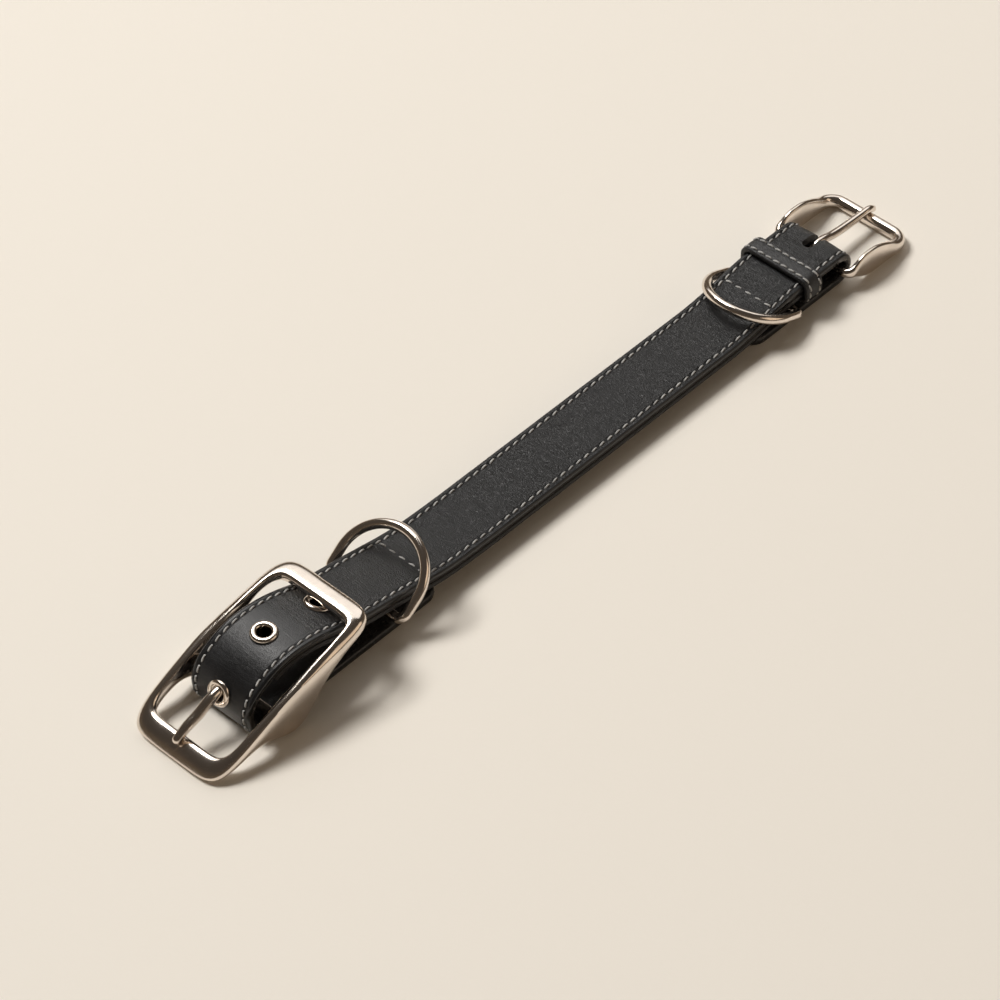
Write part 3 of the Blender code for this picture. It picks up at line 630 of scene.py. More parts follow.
def stitched_edge(tree, color, rough, height):
    """Colour, roughness and height of leather with its stitch rows and a smooth painted edge; the
    stitch grooves and holes get painted shade.
    """
    settings = leather_settings()
    base = tuple(settings.color)
    parts = node(tree, "ShaderNodeSeparateXYZ", (-1700, -700),
                 {0: object_coords(tree, (-1900, -700))})
    across = math_node(tree, "ABSOLUTE", (-1500, -700), parts.outputs["Y"])
    offset = math_node(tree, "SUBTRACT", (-1300, -700), across,
                       HALF_STRAP - settings.stitch_inset)
    distance = math_node(tree, "ABSOLUTE", (-1100, -700), offset)
    groove = ramp_node(tree, (-900, -700), distance, 0.0010, 0.00045)
    phase = node(tree, "ShaderNodeAttribute", (-1500, -1200), attribute_name="phase")
    from_stitch = math_node(tree, "PINGPONG", (-1300, -1200), phase.outputs["Fac"], 0.5)
    gap = ramp_node(tree, (-1100, -1200), from_stitch, 0.24, 0.42)
    hole = math_node(tree, "MULTIPLY", (-900, -1200), gap, groove)
    half_groove = math_node(tree, "MULTIPLY", (-900, -1400), groove, 0.5)
    shade = math_node(tree, "MULTIPLY_ADD", (-700, -1200), hole, 0.5, half_groove)
    # Painted shade: the stitch groove is darkened, and the stitch holes in it more so
    color = mixed_color(tree, (-400, 200), shade, color, shaded(base, 0.12))
    edge = ramp_node(tree, (-900, -950), across, HALF_STRAP - PAINTED_BORDER,
                     HALF_STRAP - 0.5 * PAINTED_BORDER)
    smooth = math_node(tree, "SUBTRACT", (-700, -950), 1.0, edge)
    height = math_node(tree, "MULTIPLY", (-500, -500), height, smooth)
    sunk = math_node(tree, "MULTIPLY", (-500, -1200), hole, 3.0)
    height = math_node(tree, "SUBTRACT", (-400, -700), height, sunk)
    hump = ramp_node(tree, (-1100, -1700), parts.outputs["X"], *POLISHED_HUMP_X)
    firm = math_node(tree, "MULTIPLY_ADD", (-900, -1700), hump, -0.82, 1.0)
    height = math_node(tree, "MULTIPLY", (-350, -800), height, firm)
    for place, mask, change in (((-400, -300), shade, 0.35), ((-350, -350), hump, -0.07),
                                ((-300, -400), edge, -0.16)):
        rough = math_node(tree, "MULTIPLY_ADD", place, mask, change, rough)
    return color, rough, height


def leather_material(name, roughness, bump, stitched=False):
    """Black grained leather, with stitch rows and a painted edge where it is stitched."""
    found = bpy.data.materials.get(name)
    if found:
        return found
    base = tuple(leather_settings().color)
    material, tree, shader = blank_material(name)
    grain = place_group(tree, "Leather grain", leather_grain_group, (-1200, 0))
    marks = place_group(tree, "Handling marks", handling_group, (-1200, -400), Patch_scale=55.0)
    color = mixed_color(tree, (-800, 200), marks.outputs["Patches"], base, shaded(base, 1.75))
    # Painted shade: the grain's valleys are darkened
    color = mixed_color(tree, (-600, 200), grain.outputs["Valleys"], color, shaded(base, 0.45))
    rough = math_node(tree, "MULTIPLY_ADD", (-600, -200), marks.outputs["Patches"], 0.10,
                      roughness)
    height = grain.outputs["Height"]
    if stitched:
        color, rough, height = stitched_edge(tree, color, rough, height)
    feed(tree, shader.inputs["Base Color"], color)
    feed(tree, shader.inputs["Roughness"], rough)
    feed(tree, shader.inputs["Normal"], relief(tree, (-300, -600), height, bump, 0.0002))
    return material


def strap_leather():
    return leather_material("Strap leather", 0.40, 0.55, stitched=True)


def lining_leather():
    return leather_material("Lining leather", 0.42, 0.3)


def keeper_leather():
    return leather_material("Keeper leather", 0.40, 0.35)


def nickel_material():
    """Polished warm nickel with faint scuffs, and painted shade where a vertex is marked as bore.
    """
    found = bpy.data.materials.get("Polished nickel")
    if found:
        return found
    settings = metal_settings()
    base = tuple(settings.color)
    material, tree, shader = blank_material("Polished nickel")
    shader.inputs["Metallic"].default_value = 1.0
    marks = place_group(tree, "Handling marks", handling_group, (-900, 0),
                        Patch_scale=140.0, Scuff_scale=1600.0)
    patches, scuffs = marks.outputs["Patches"], marks.outputs["Scuffs"]
    color = mixed_color(tree, (-500, 200), patches, base, shaded(base, 0.90))
    # Painted shade: where a vertex is marked as bore, the nickel turns dark brown
    bore = node(tree, "ShaderNodeAttribute", (-700, 450), attribute_name="bore")
    color = mixed_color(tree, (-300, 300), bore.outputs["Fac"], color, BORE_SHADE_COLOR)
    rough = math_node(tree, "MULTIPLY_ADD", (-500, -100), patches, 0.05, settings.roughness)
    rough = math_node(tree, "MULTIPLY_ADD", (-300, -100), scuffs, 0.05, rough)
    feed(tree, shader.inputs["Base Color"], color)
    feed(tree, shader.inputs["Roughness"], rough)
    feed(tree, shader.inputs["Normal"], relief(tree, (-300, -400), scuffs, 0.06, 0.00005))
    return material


def thread_material():
    """Waxed grey thread with its fibres."""
    found = bpy.data.materials.get("Waxed thread")
    if found:
        return found
    base = tuple(leather_settings().thread_color)
    darker = shaded(base, 0.55)
    material, tree, shader = blank_material("Waxed thread")
    shader.inputs["Roughness"].default_value = 0.62
    coords = object_coords(tree, (-1100, 0))
    fibres = noise_node(tree, (-800, 0), coords, 5200.0, 3.0).outputs["Fac"]
    worn = noise_node(tree, (-800, 300), coords, 160.0).outputs["Fac"]
    patches = ramp_node(tree, (-500, 300), worn, 0.35, 0.65)
    strands = ramp_node(tree, (-500, 0), fibres, 0.35, 0.65)
    color = mixed_color(tree, (-300, 300), patches, base, darker)
    color = mixed_color(tree, (-150, 200), strands, darker, color)
    feed(tree, shader.inputs["Base Color"], color)
    feed(tree, shader.inputs["Normal"], relief(tree, (-200, -300), fibres, 0.5, 0.0001))
    return material


def floor_material():
    """Plain pale matt floor with the faint tooth of heavy paper."""
    material, tree, shader = blank_material("Floor")
    shader.inputs["Base Color"].default_value = (*stage_settings().floor_color, 1.0)
    shader.inputs["Roughness"].default_value = 0.85
    shader.inputs["Specular IOR Level"].default_value = 0.2
    tooth = noise_node(tree, (-600, -200), object_coords(tree, (-800, -200)), 900.0)
    feed(tree, shader.inputs["Normal"],
         relief(tree, (-300, -200), tooth.outputs["Fac"], 0.15, 0.0003))
    return material


# Leather


def border_profile(groove):
    """Offsets from the strap's edge and depths below its face, from the edge inwards."""
    row = leather_settings().stitch_inset
    return (
        (0.0, 0.00095), (0.00006, 0.00060), (0.00022, 0.00030), (0.00048, 0.00010),
        (0.00080, 0.0), (row - 0.00105, 0.00001), (row - 0.00070, 0.12 * groove),
        (row - 0.00037, 0.55 * groove), (row, groove), (row + 0.00037, 0.55 * groove),
        (row + 0.00065, 0.14 * groove), (row + 0.00105, 0.00002), (row + 0.00180, 0.0),
    )


def ply_outline(half_width, thickness, groove, crown, inner=0.0):
    """Closed outline of a ply as (across, depth) pairs; inner shifts all of it inwards."""
    border = [(half_width - offset, depth) for offset, depth in border_profile(groove)]
    flat = border[-1][0]
    middle = [(flat * share, -crown * (1 - share ** 2)) for share in (0.75, 0.5, 0.25)]
    side = border + middle
    face = side + [(0.0, -crown)] + [(-y, depth) for y, depth in reversed(side)]
    lower = (
        (half_width - 0.0001, thickness - 0.0006),
        (half_width - 0.00035, thickness - 0.00022),
        (half_width - 0.0008, thickness),
        (0.5 * half_width, thickness),
    )
    back = [(-y, depth) for y, depth in lower] + [(0.0, thickness)] + list(reversed(lower))
    return [(y, depth + inner) for y, depth in face + back]


def tab_half_width(from_end):
    """Half width of the strap at a distance from its tab's end."""
    if from_end >= TAB_CORNER_RADIUS:
        return HALF_STRAP
    short = TAB_CORNER_RADIUS - from_end
    return HALF_STRAP - TAB_CORNER_RADIUS + math.sqrt(TAB_CORNER_RADIUS ** 2 - short ** 2)


def leather_wave(point, y):
    """Height of the slow unevenness of the leather's face."""
    broad = noise.noise(Vector((point.x * 38.0, y * 60.0, 3.1)))
    fine = noise.noise(Vector((point.x * 120.0, y * 75.0, 7.7)))
    return 0.00010 * broad + 0.00004 * fine


def seam_reaches(line):
    """Distances along the strap at which the cross seams lie."""
    return [line.reach_of(x, SEAM_LOOK_Z) for x in SEAM_XS]


def strap_stations(line):
    """Distances along the strap, closer together at the tabs' corners and cross seams."""
    step = 0.0013
    fine_step = 0.0003
    smallest_step = 0.00012
    reaches = set(np.linspace(0.0, line.length, round(line.length / step)).tolist())
    for share in (0.03, 0.08, 0.16, 0.28, 0.42, 0.6, 0.8):
        reaches.add(TAB_CORNER_RADIUS * share)
        reaches.add(line.length - TAB_CORNER_RADIUS * share)
    for middle in seam_reaches(line):
        for part in range(-6, 7):
            reaches.add(middle + fine_step * part)
    ordered = sorted(reaches)
    kept = [ordered[0]]
    for reach in ordered[1:]:
        if reach - kept[-1] > smallest_step:
            kept.append(reach)
    return kept


def stitch_spacing(line):
    """Where the strap's long stitch rows start and the pitch that fills them evenly."""
    start = 0.0025
    length = line.length - 2 * start
    return start, length / round(length / leather_settings().stitch_pitch)


def cut_leather(strap, line, first_row):
    """Punch the eyelet holes through a piece of leather."""
    punch_length = 0.024
    start = line.reach_of(NEAR_FOLD_X, NEAR_FOLD_RADIUS)
    for row in EYELETS[first_row:]:
        reach = start + row["reach"]
        seat = seat_matrix(line.at(reach), line.normal(reach))
        combine(strap, rod("hole", EYELET_HOLE_RADIUS, punch_length, seat, 48), "DIFFERENCE")


class CollarStrap(bpy.types.Operator):
    """Build the outer leather with its folds, grooves, seams and holes"""

    bl_idname = "collar.strap"
    bl_label = "Strap"

    def execute(self, context):
        settings = leather_settings()
        line = Line(strap_points())
        low, high = 0.004, 0.008
        inner_half = HALF_STRAP - settings.stitch_inset - 0.0001
        seams = seam_reaches(line)
        sections = []
        for reach in strap_stations(line):
            point = line.at(reach)
            normal = line.normal(reach)
            half_width = tab_half_width(min(reach, line.length - reach))
            upper = min(1.0, max(0.0, (point.y - low) / (high - low)))
            seam = sum(math.exp(-((reach - middle) / SEAM_WIDTH) ** 2) for middle in seams)
            section = []
            for y, depth in ply_outline(half_width, OUTER_PLY, settings.groove_depth,
                                        settings.crown * upper):
                if depth < 0.5 * OUTER_PLY and abs(y) < inner_half:
                    depth += SEAM_DEPTH * seam - leather_wave(point, y) * upper
                section.append(under(point, normal, depth, y))
            sections.append(section)
        strap = skin("strap_leather", sections, False, strap_leather(), LEATHER_EDGE)
        start, pitch = stitch_spacing(line)
        phases = [(reach - start) / pitch for reach in strap_stations(line)]
        mark(strap, "phase", [phase for phase in phases for _ in sections[0]])
        cut_leather(strap, line, 0)
        self.cut_slot(strap)
        dress(strap, "collar", "strap_leather", "strap_outer")
        return {"FINISHED"}

    def cut_slot(self, strap):
        """Cut the rounded slot that lets the far prong out of its fold."""
        end_x = FAR_FOLD_X + FAR_FOLD_TOP
        radius = SLOT_WIDTH / 2
        outline = [Vector((end_x, radius)), Vector((end_x, -radius))]
        outline += arc((SLOT_START_X + radius, 0.0), radius, 270, 90, 16)
        ends = [[(spot.x, spot.y, z) for spot in outline]
                for z in (SLOT_FLOOR_Z, SLOT_FLOOR_Z + FAR_FOLD_TOP)]
        combine(strap, skin("slot", ends, False, None), "DIFFERENCE")


def lining_ends(line):
    """Distances along the strap's top face at which the lining starts and ends."""
    return (line.reach_of(LINING_NEAR_X, LINING_NEAR_Z),
            line.reach_of(LINING_FAR_X, FAR_FOLD_TOP))


class CollarLining(bpy.types.Operator):
    """Build the inner leather between the two folds"""

    bl_idname = "collar.lining"
    bl_label = "Lining"

    def execute(self, context):
        line = Line(top_points())
        depth = OUTER_PLY + FIT_GAP
        step = 0.0014
        setback = 0.0001
        groove = 0.0001
        start, end = lining_ends(line)
        outline = ply_outline(HALF_STRAP - setback, LINING_PLY, groove, 0.0, depth)
        sections = []
        for reach in np.linspace(start, end, round((end - start) / step) + 1):
            point, normal = line.at(reach), line.normal(reach)
            sections.append([under(point, normal, inward, y) for y, inward in outline])
        lining = skin("lining_leather", sections, False, lining_leather(), LEATHER_EDGE)
        cut_leather(lining, line, 1)
        dress(lining, "collar", "lining_leather", "strap_lining")
        return {"FINISHED"}


def keeper_plan(outward, parts):
    """Places round the keeper's band, outward from its middle line, with their normals."""
    bottom = FAR_FOLD_TOP - OUTER_PLY - FIT_GAP - LINING_PLY
    half_thickness = KEEPER_THICKNESS / 2
    half_y = HALF_STRAP + KEEPER_SIDE_GAP + half_thickness
    high = FAR_FOLD_TOP + KEEPER_TOP_GAP + half_thickness
    low = bottom - KEEPER_SIDE_GAP - half_thickness
    middle_z = (high + low) / 2
    half_z = (high - low) / 2
    outline = []
    for quadrant, (sign_y, sign_z) in enumerate(((1, 1), (-1, 1), (-1, -1), (1, -1))):
        for part in range(9):
            turn = math.radians(90 * quadrant + 90 * part / 8)
            normal = Vector((math.cos(turn), math.sin(turn)))
            hub = Vector((sign_y * (half_y - KEEPER_CORNER),
                          middle_z + sign_z * (half_z - KEEPER_CORNER)))
            outline.append((hub + (KEEPER_CORNER + outward) * normal, normal))
    long_side = 0.004
    plan = []
    for index, (spot, normal) in enumerate(outline):
        after_spot, after_normal = outline[(index + 1) % len(outline)]
        plan.append((spot, normal))
        if (after_spot - spot).length > long_side:
            for part in range(1, parts):
                share = part / parts
                plan.append((spot.lerp(after_spot, share), normal.lerp(after_normal, share)))
    return plan


class CollarKeeper(bpy.types.Operator):
    """Build the keeper loop with its two stitched borders"""

    bl_idname = "collar.keeper"
    bl_label = "Keeper"

    def execute(self, context):
        half = KEEPER_LENGTH / 2
        thick = KEEPER_THICKNESS / 2
        side = (
            (half, thick - 0.0008), (half - 0.0001, thick - 0.0004),
            (half - 0.0004, thick - 0.00008), (half - 0.0008, thick),
            (half - 0.0012, thick - 0.3 * KEEPER_GROOVE),
            (half - KEEPER_STITCH_INSET, thick - KEEPER_GROOVE),
            (half - 0.0020, thick - 0.3 * KEEPER_GROOVE), (half - 0.0024, thick),
        )
        face = list(side) + [(0.0, thick + 0.0001)] + [(-x, z) for x, z in reversed(side)]
        back = [(-half, -thick + 0.0004), (-half + 0.0004, -thick), (half - 0.0004, -thick),
                (half, -thick + 0.0004)]
        sections = []
        for spot, normal in keeper_plan(0.0, 14):
            section = []
            for along, across in face + back:
                place = spot + normal * across
                section.append((KEEPER_X + along, place.x, place.y))
            sections.append(section)
        keeper = skin("keeper_leather", sections, True, keeper_leather(), LEATHER_EDGE)
        dress(keeper, "collar", "strap_leather", "keeper_loop")
        return {"FINISHED"}


# Stitches


def stitch_thread():
    """One stitch: a short twisted thread whose ends dive into the leather."""
    settings = leather_settings()
    half = settings.stitch_length / 2
    rise = ((half, -0.00050), (half - 0.00022, -0.00012), (0.62 * half, 0.00004))
    spine = [(-along, up) for along, up in rise] + [(0.0, 0.00008)] + list(reversed(rise))
    sections = []
    for index, (along, up) in enumerate(spine):
        section = []
        for turn in turns(8):
            size = settings.thread_radius * (1.0 + 0.22 * math.cos(2 * (turn - 1.3 * index)))
            section.append((along, size * math.cos(turn), up + size * math.sin(turn)))
        sections.append(section)
    return skin("stitch", sections, False, thread_material(), 60.0)


def stitch_tree():
    """Geometry Nodes that lay stitches along every path of a mesh of edges."""
    tree = bpy.data.node_groups.new("Stitch rows", "GeometryNodeTree")
    for name, kind, value in (("Geometry", "Geometry", None), ("Stitch", "Object", None),
                              ("Pitch", "Float", 0.0039), ("Slant", "Float", 0.15),
                              ("Looseness", "Float", 0.05), ("Material", "Material", None)):
        group_socket(tree, name, "INPUT", kind, value)
    group_socket(tree, "Geometry", "OUTPUT", "Geometry")
    start = node(tree, "NodeGroupInput", (-1200, 0)).outputs
    curve = node(tree, "GeometryNodeMeshToCurve", (-1000, 0), {"Mesh": start["Geometry"]})
    spaced = node(tree, "GeometryNodeResampleCurve", (-800, 0),
                  {"Curve": curve.outputs[0], "Length": start["Pitch"]}, mode="LENGTH")
    tangent = node(tree, "GeometryNodeInputTangent", (-800, -300))
    lengthwise = node(tree, "FunctionNodeAlignRotationToVector", (-600, -300),
                      {"Vector": tangent.outputs[0]}, axis="X")
    up = node(tree, "GeometryNodeInputNamedAttribute", (-800, -500), {"Name": "up"},
              data_type="FLOAT_VECTOR")
    upright = node(tree, "FunctionNodeAlignRotationToVector", (-400, -300),
                   {"Rotation": lengthwise.outputs[0], "Vector": up.outputs["Attribute"]},
                   axis="Z", pivot_axis="X")
    lowest = math_node(tree, "MULTIPLY", (-800, -800), start["Looseness"], -1.0)
    wobble = node(tree, "FunctionNodeRandomValue", (-600, -700),
                  {2: lowest, 3: start["Looseness"], "Seed": 11}, data_type="FLOAT")
    turn = math_node(tree, "ADD", (-400, -700), start["Slant"], wobble.outputs[1])
    slant = node(tree, "FunctionNodeAxisAngleToRotation", (-200, -700),
                 {"Axis": (0.0, 0.0, 1.0), "Angle": turn})
    slanted = node(tree, "FunctionNodeRotateRotation", (0, -300),
                   {"Rotation": upright.outputs[0], "Rotate By": slant.outputs[0]},
                   rotation_space="LOCAL")
    source = node(tree, "GeometryNodeObjectInfo", (0, 300), {"Object": start["Stitch"]},
                  transform_space="ORIGINAL")
    laid = node(tree, "GeometryNodeInstanceOnPoints", (400, 0),
                {"Points": spaced.outputs[0], "Instance": source.outputs["Geometry"],
                 "Rotation": slanted.outputs[0]})
    real = node(tree, "GeometryNodeRealizeInstances", (800, 0), {0: laid.outputs[0]})
    finish = node(tree, "GeometryNodeSetMaterial", (1100, 0),
                  {"Geometry": real.outputs[0], "Material": start["Material"]})
    node(tree, "NodeGroupOutput", (1400, 0), {0: finish.outputs[0]})
    return tree


def set_inputs(modifier, **values):
    """Set a Geometry Nodes modifier's inputs by their sockets' identifiers."""
    for item in modifier.node_group.interface.items_tree:
        if item.item_type == "SOCKET" and item.in_out == "INPUT" and item.name in values:
            modifier[item.identifier] = values[item.name]


def path_mesh(name, paths):
    """A mesh of open or closed edge paths, each a list of (place, up) with a closed flag."""
    mesh_data = bmesh.new()
    layer = mesh_data.verts.layers.float_vector.new("up")
    for closed, places in paths:
        verts = []
        for place, up in places:
            vert = mesh_data.verts.new(place)
            vert[layer] = up
            verts.append(vert)
        for first, second in zip(verts, verts[1:]):
            mesh_data.edges.new((first, second))
        if closed:
            mesh_data.edges.new((verts[-1], verts[0]))
    mesh = bpy.data.meshes.new(name)
    mesh_data.to_mesh(mesh)
    mesh_data.free()
    item = bpy.data.objects.new(name, mesh)
    bpy.context.scene.collection.objects.link(item)
    return item


def sew(name, paths, pitch, stitch, tree):
    """Lay stitches along paths and return them as one plain mesh object."""
    settings = leather_settings()
    carrier = path_mesh(name + "_paths", paths)
    modifier = carrier.modifiers.new("stitches", "NODES")
    modifier.node_group = tree
    set_inputs(modifier, Stitch=stitch, Pitch=pitch, Slant=settings.stitch_slant,
               Looseness=0.06, Material=thread_material())
    bpy.context.view_layer.update()
    graph = bpy.context.evaluated_depsgraph_get()
    mesh = bpy.data.meshes.new_from_object(carrier.evaluated_get(graph))
    mesh.name = name
    carrier.modifiers.remove(modifier)
    bpy.data.objects.remove(carrier, do_unlink=True)
    item = bpy.data.objects.new(name, mesh)
    bpy.context.scene.collection.objects.link(item)
    mesh.shade_smooth()
    return item


def row_along(line, start, end, y, depth, outward=1.0):
    """A stitch path along a line of the strap at a fixed distance across."""
    step = 0.0009
    places = []
    for reach in np.linspace(start, end, round((end - start) / step) + 1):
        point, normal = line.at(reach), line.normal(reach)
        place = under(point, normal, depth, y)
        places.append((place, (normal.x * outward, 0.0, normal.y * outward)))
    return (False, places)


class CollarStitches(bpy.types.Operator):
    """Sew the strap, its cross seams, the lining's back and the keeper"""

    bl_idname = "collar.stitches"
    bl_label = "Stitches"

    def execute(self, context):
        settings = leather_settings()
        stitch = stitch_thread()
        tree = stitch_tree()
        row = HALF_STRAP - settings.stitch_inset
        pitch = settings.stitch_pitch
        whole = Line(strap_points())
        first, even_pitch = stitch_spacing(whole)
        rows = [row_along(whole, first, whole.length - first, y, STITCH_SINK)
                for y in (row, -row)]
        strap = sew("strap_stitches", rows, even_pitch, stitch, tree)
        dress(strap, "collar", "strap_leather")
        paths = []
        for reach in seam_reaches(whole):
            point, normal = whole.at(reach), whole.normal(reach)
            up = (normal.x, 0.0, normal.y)
            paths.append((False, [(under(point, normal, STITCH_SINK, y), up) for y in
                                  np.linspace(SEAM_HALF_WIDTH, -SEAM_HALF_WIDTH, 13)]))
        seams = sew("seam_stitches", paths, SEAM_STITCH_PITCH, stitch, tree)
        dress(seams, "collar", "strap_leather")
        top = Line(top_points())
        inset = 0.003
        start, end = lining_ends(top)
        depth = OUTER_PLY + FIT_GAP + LINING_PLY + 0.00002
        rows = [row_along(top, start + inset, end - inset, y, depth, -1.0) for y in (row, -row)]
        lining = sew("lining_stitches", rows, pitch, stitch, tree)
        dress(lining, "collar", "lining_leather")
        loops = []
        for side in (-1, 1):
            x = KEEPER_X + side * (KEEPER_LENGTH / 2 - KEEPER_STITCH_INSET)
            loop = [((x, spot.x, spot.y), (0.0, normal.x, normal.y))
                    for spot, normal in keeper_plan(KEEPER_THICKNESS / 2 - STITCH_SINK, 30)]
            loops.append((True, loop))
        keeper = sew("keeper_stitches", loops, KEEPER_STITCH_PITCH, stitch, tree)
        dress(keeper, "collar", "strap_leather")
        bpy.data.objects.remove(stitch, do_unlink=True)
        return {"FINISHED"}


# Hardware


def eyelet_section(depth):
    """Half profile of an eyelet as (radius, height) round its rolled flange."""
    bore, flange, barrel = EYELET_BORE_RADIUS, EYELET_FLANGE_RADIUS, EYELET_BARREL_RADIUS
    middle = (bore + flange) / 2
    across = (flange - bore) / 2
    seat = FIT_GAP - 0.0001
    profile = [(barrel, -depth), (barrel, seat), (flange - 0.0003, seat)]
    for part in range(15):
        turn = math.pi * part / 14
        height = FIT_GAP + EYELET_ROLL_HEIGHT * math.sin(turn) ** 0.8
        profile.append((middle + across * math.cos(turn), height))
    profile += [(bore + 0.00005, -0.0002), (bore + 0.0001, -0.0005), (bore + 0.0001, -depth)]
    return profile


class CollarEyelets(bpy.types.Operator):
    """Build the three rolled eyelets"""

    bl_idname = "collar.eyelets"
    bl_label = "Eyelets"

    def execute(self, context):
        line = Line(top_points())
        for row in EYELETS:
            seat = seat_matrix(line.at(row["reach"]), line.normal(row["reach"]))
            profile = eyelet_section(row["depth"])
            sections = [[seat @ Vector((r * math.cos(turn), r * math.sin(turn), z))
                         for r, z in profile] for turn in turns(64)]
            eyelet = skin(row["name"] + "_ring", sections, True, nickel_material(), 45.0)
            # Mark the inside of the bore, which the nickel darkens as painted shade
            shares = [max(0.0, min(1.0, (0.0001 - z) / 0.0004)) for _, z in profile]
            mark(eyelet, "bore", shares * len(sections))
            dress(eyelet, "collar", "nickel", row["name"])
        return {"FINISHED"}


def bar_outline(half, top, bottom, drop, crown):
    """Eight corners of a frame's section: inner side first, the outer side lower by drop."""
    round_out = min(half * 0.62, (top - bottom) * 0.32)
    return (
        (-half, top - crown), (-half + round_out, top), (half - round_out, top - 0.5 * drop),
        (half, top - drop - crown), (half, bottom + crown), (half - round_out, bottom),
        (-half + round_out, bottom + 0.5 * drop), (-half, bottom + 0.5 * drop + crown),
    )


def squared(turn, half_length, half_width, power):
    """Point of a squared oval in the direction of a turn; a higher power has tighter corners."""
    along, across = math.cos(turn), math.sin(turn)
    reach = (abs(along) ** power + abs(across) ** power) ** (-1 / power)
    return Vector((half_length * reach * along, half_width * reach * across))


def prong(name, knots, radius, bar, eye_radius, bar_radius):
    """A prong: a bent tapered rod with a round tip and an eye round its bar."""
    line = smooth_line(knots, 0.0006)
    belly, taper = 0.12, 0.10
    last = len(line) - 1
    sections = []
    for index, point in enumerate(line):
        along = (line[min(index + 1, last)] - line[max(index - 1, 0)]).normalized()
        share = index / last
        size = radius * (1.0 + belly * math.sin(math.pi * share) - taper * share)
        sections.append(round_section(point, along, size))
    along = (line[-1] - line[-3]).normalized()
    for part in range(1, 7):
        lean = math.pi / 2 * part / 6.4
        center = line[-1] + along * size * math.sin(lean)
        sections.append(round_section(center, along, size * math.cos(lean)))
    rod_part = skin(name, sections, False, nickel_material(), 50.0)
    place = Matrix.Translation((bar[0], 0.0, bar[1])) @ Matrix.Rotation(math.radians(90), 4, "X")
    mesh_data = bmesh.new()
    bmesh.ops.create_cone(mesh_data, cap_ends=True, segments=48, radius1=eye_radius,
                          radius2=eye_radius, depth=PRONG_EYE_WIDTH, matrix=place)
    rims = [edge for edge in mesh_data.edges if len(edge.link_faces) == 2
            and max(len(face.verts) for face in edge.link_faces) > 4]
    bmesh.ops.bevel(mesh_data, geom=rims, offset=0.0006, segments=4, affect="EDGES")
    combine(rod_part, mesh_object("eye", mesh_data, None), "UNION")
    combine(rod_part, rod("bore", bar_radius + FIT_GAP, 0.01, place, 48), "DIFFERENCE")
    return rod_part


class CollarLargeBuckle(bpy.types.Operator):
    """Build the deep sided buckle and its prong"""

    bl_idname = "collar.large_buckle"
    bl_label = "Large buckle"

    def execute(self, context):
        middle_top = (NEAR_FRAME_FAR_TOP + NEAR_FRAME_NEAR_TOP) / 2
        tilt = (NEAR_FRAME_FAR_TOP - NEAR_FRAME_NEAR_TOP) / 2
        underside = NEAR_FRAME_FAR_TOP - NEAR_FRAME_END_DEPTH
        skirt_share = faired(NEAR_SKIRT_ROWS, 1)
        sections = []
        for even in turns(NEAR_FRAME_STATIONS):
            turn = even + math.pi / NEAR_FRAME_STATIONS
            turn += 0.12 * math.sin(4 * turn)
            rim = squared(turn, NEAR_RIM_HALF_LENGTH, NEAR_RIM_HALF_WIDTH, NEAR_RIM_POWER)
            window = squared(turn, NEAR_WINDOW_HALF_LENGTH, NEAR_WINDOW_HALF_WIDTH,
                             NEAR_WINDOW_POWER)
            window.x += NEAR_WINDOW_SHIFT
            normal = (rim - window).normalized()
            half = (rim - window).length / 2
            center = (rim + window) / 2
            share_x = max(-1.0, min(1.0, center.x / NEAR_FRAME_HALF_LENGTH))
            end_share = normal.x ** 2
            top = middle_top + tilt * share_x + NEAR_FRAME_ARCH * (1 - share_x ** 2)
            drop = (NEAR_END_DROP if normal.x < 0 else FAR_END_DROP) * end_share
            skirt = underside * skirt_share(share_x)
            bar_bottom = max(top - drop - NEAR_BAR_DEPTH, skirt)
            bottom = skirt + (bar_bottom - skirt) * end_share
            outline = rounded(bar_outline(half, top, bottom, drop, NEAR_BAR_CROWN), 2)
            sections.append([(NEAR_FRAME_X + center.x + normal.x * spot.x,
                              center.y + normal.y * spot.x, spot.y) for spot in outline])
        buckle = skin("large_buckle", sections, True, nickel_material(), METAL_EDGE)
        across = Matrix.Rotation(math.radians(90), 4, "X")
        place = Matrix.Translation((NEAR_BAR[0], 0.0, NEAR_BAR[1])) @ across
        combine(buckle, rod("bar", NEAR_BAR_RADIUS, 2 * NEAR_FRAME_HALF_WIDTH, place, 32), "UNION")
        before, tip = Vector(NEAR_PRONG_KNOTS[-2]), Vector(NEAR_PRONG_KNOTS[-1])
        seat = seat_matrix((tip + before) / 2, tip - before)
        notch = rod("notch", NEAR_PRONG_RADIUS + FIT_GAP, NOTCH_LENGTH, seat, 40)
        combine(buckle, notch, "DIFFERENCE")
        dress(buckle, "collar", "nickel", "near_frame")
        pin = prong("large_prong", NEAR_PRONG_KNOTS, NEAR_PRONG_RADIUS, NEAR_BAR, NEAR_EYE_RADIUS,
                    NEAR_BAR_RADIUS)
        dress(pin, "collar", "nickel", "near_prong")
        return {"FINISHED"}


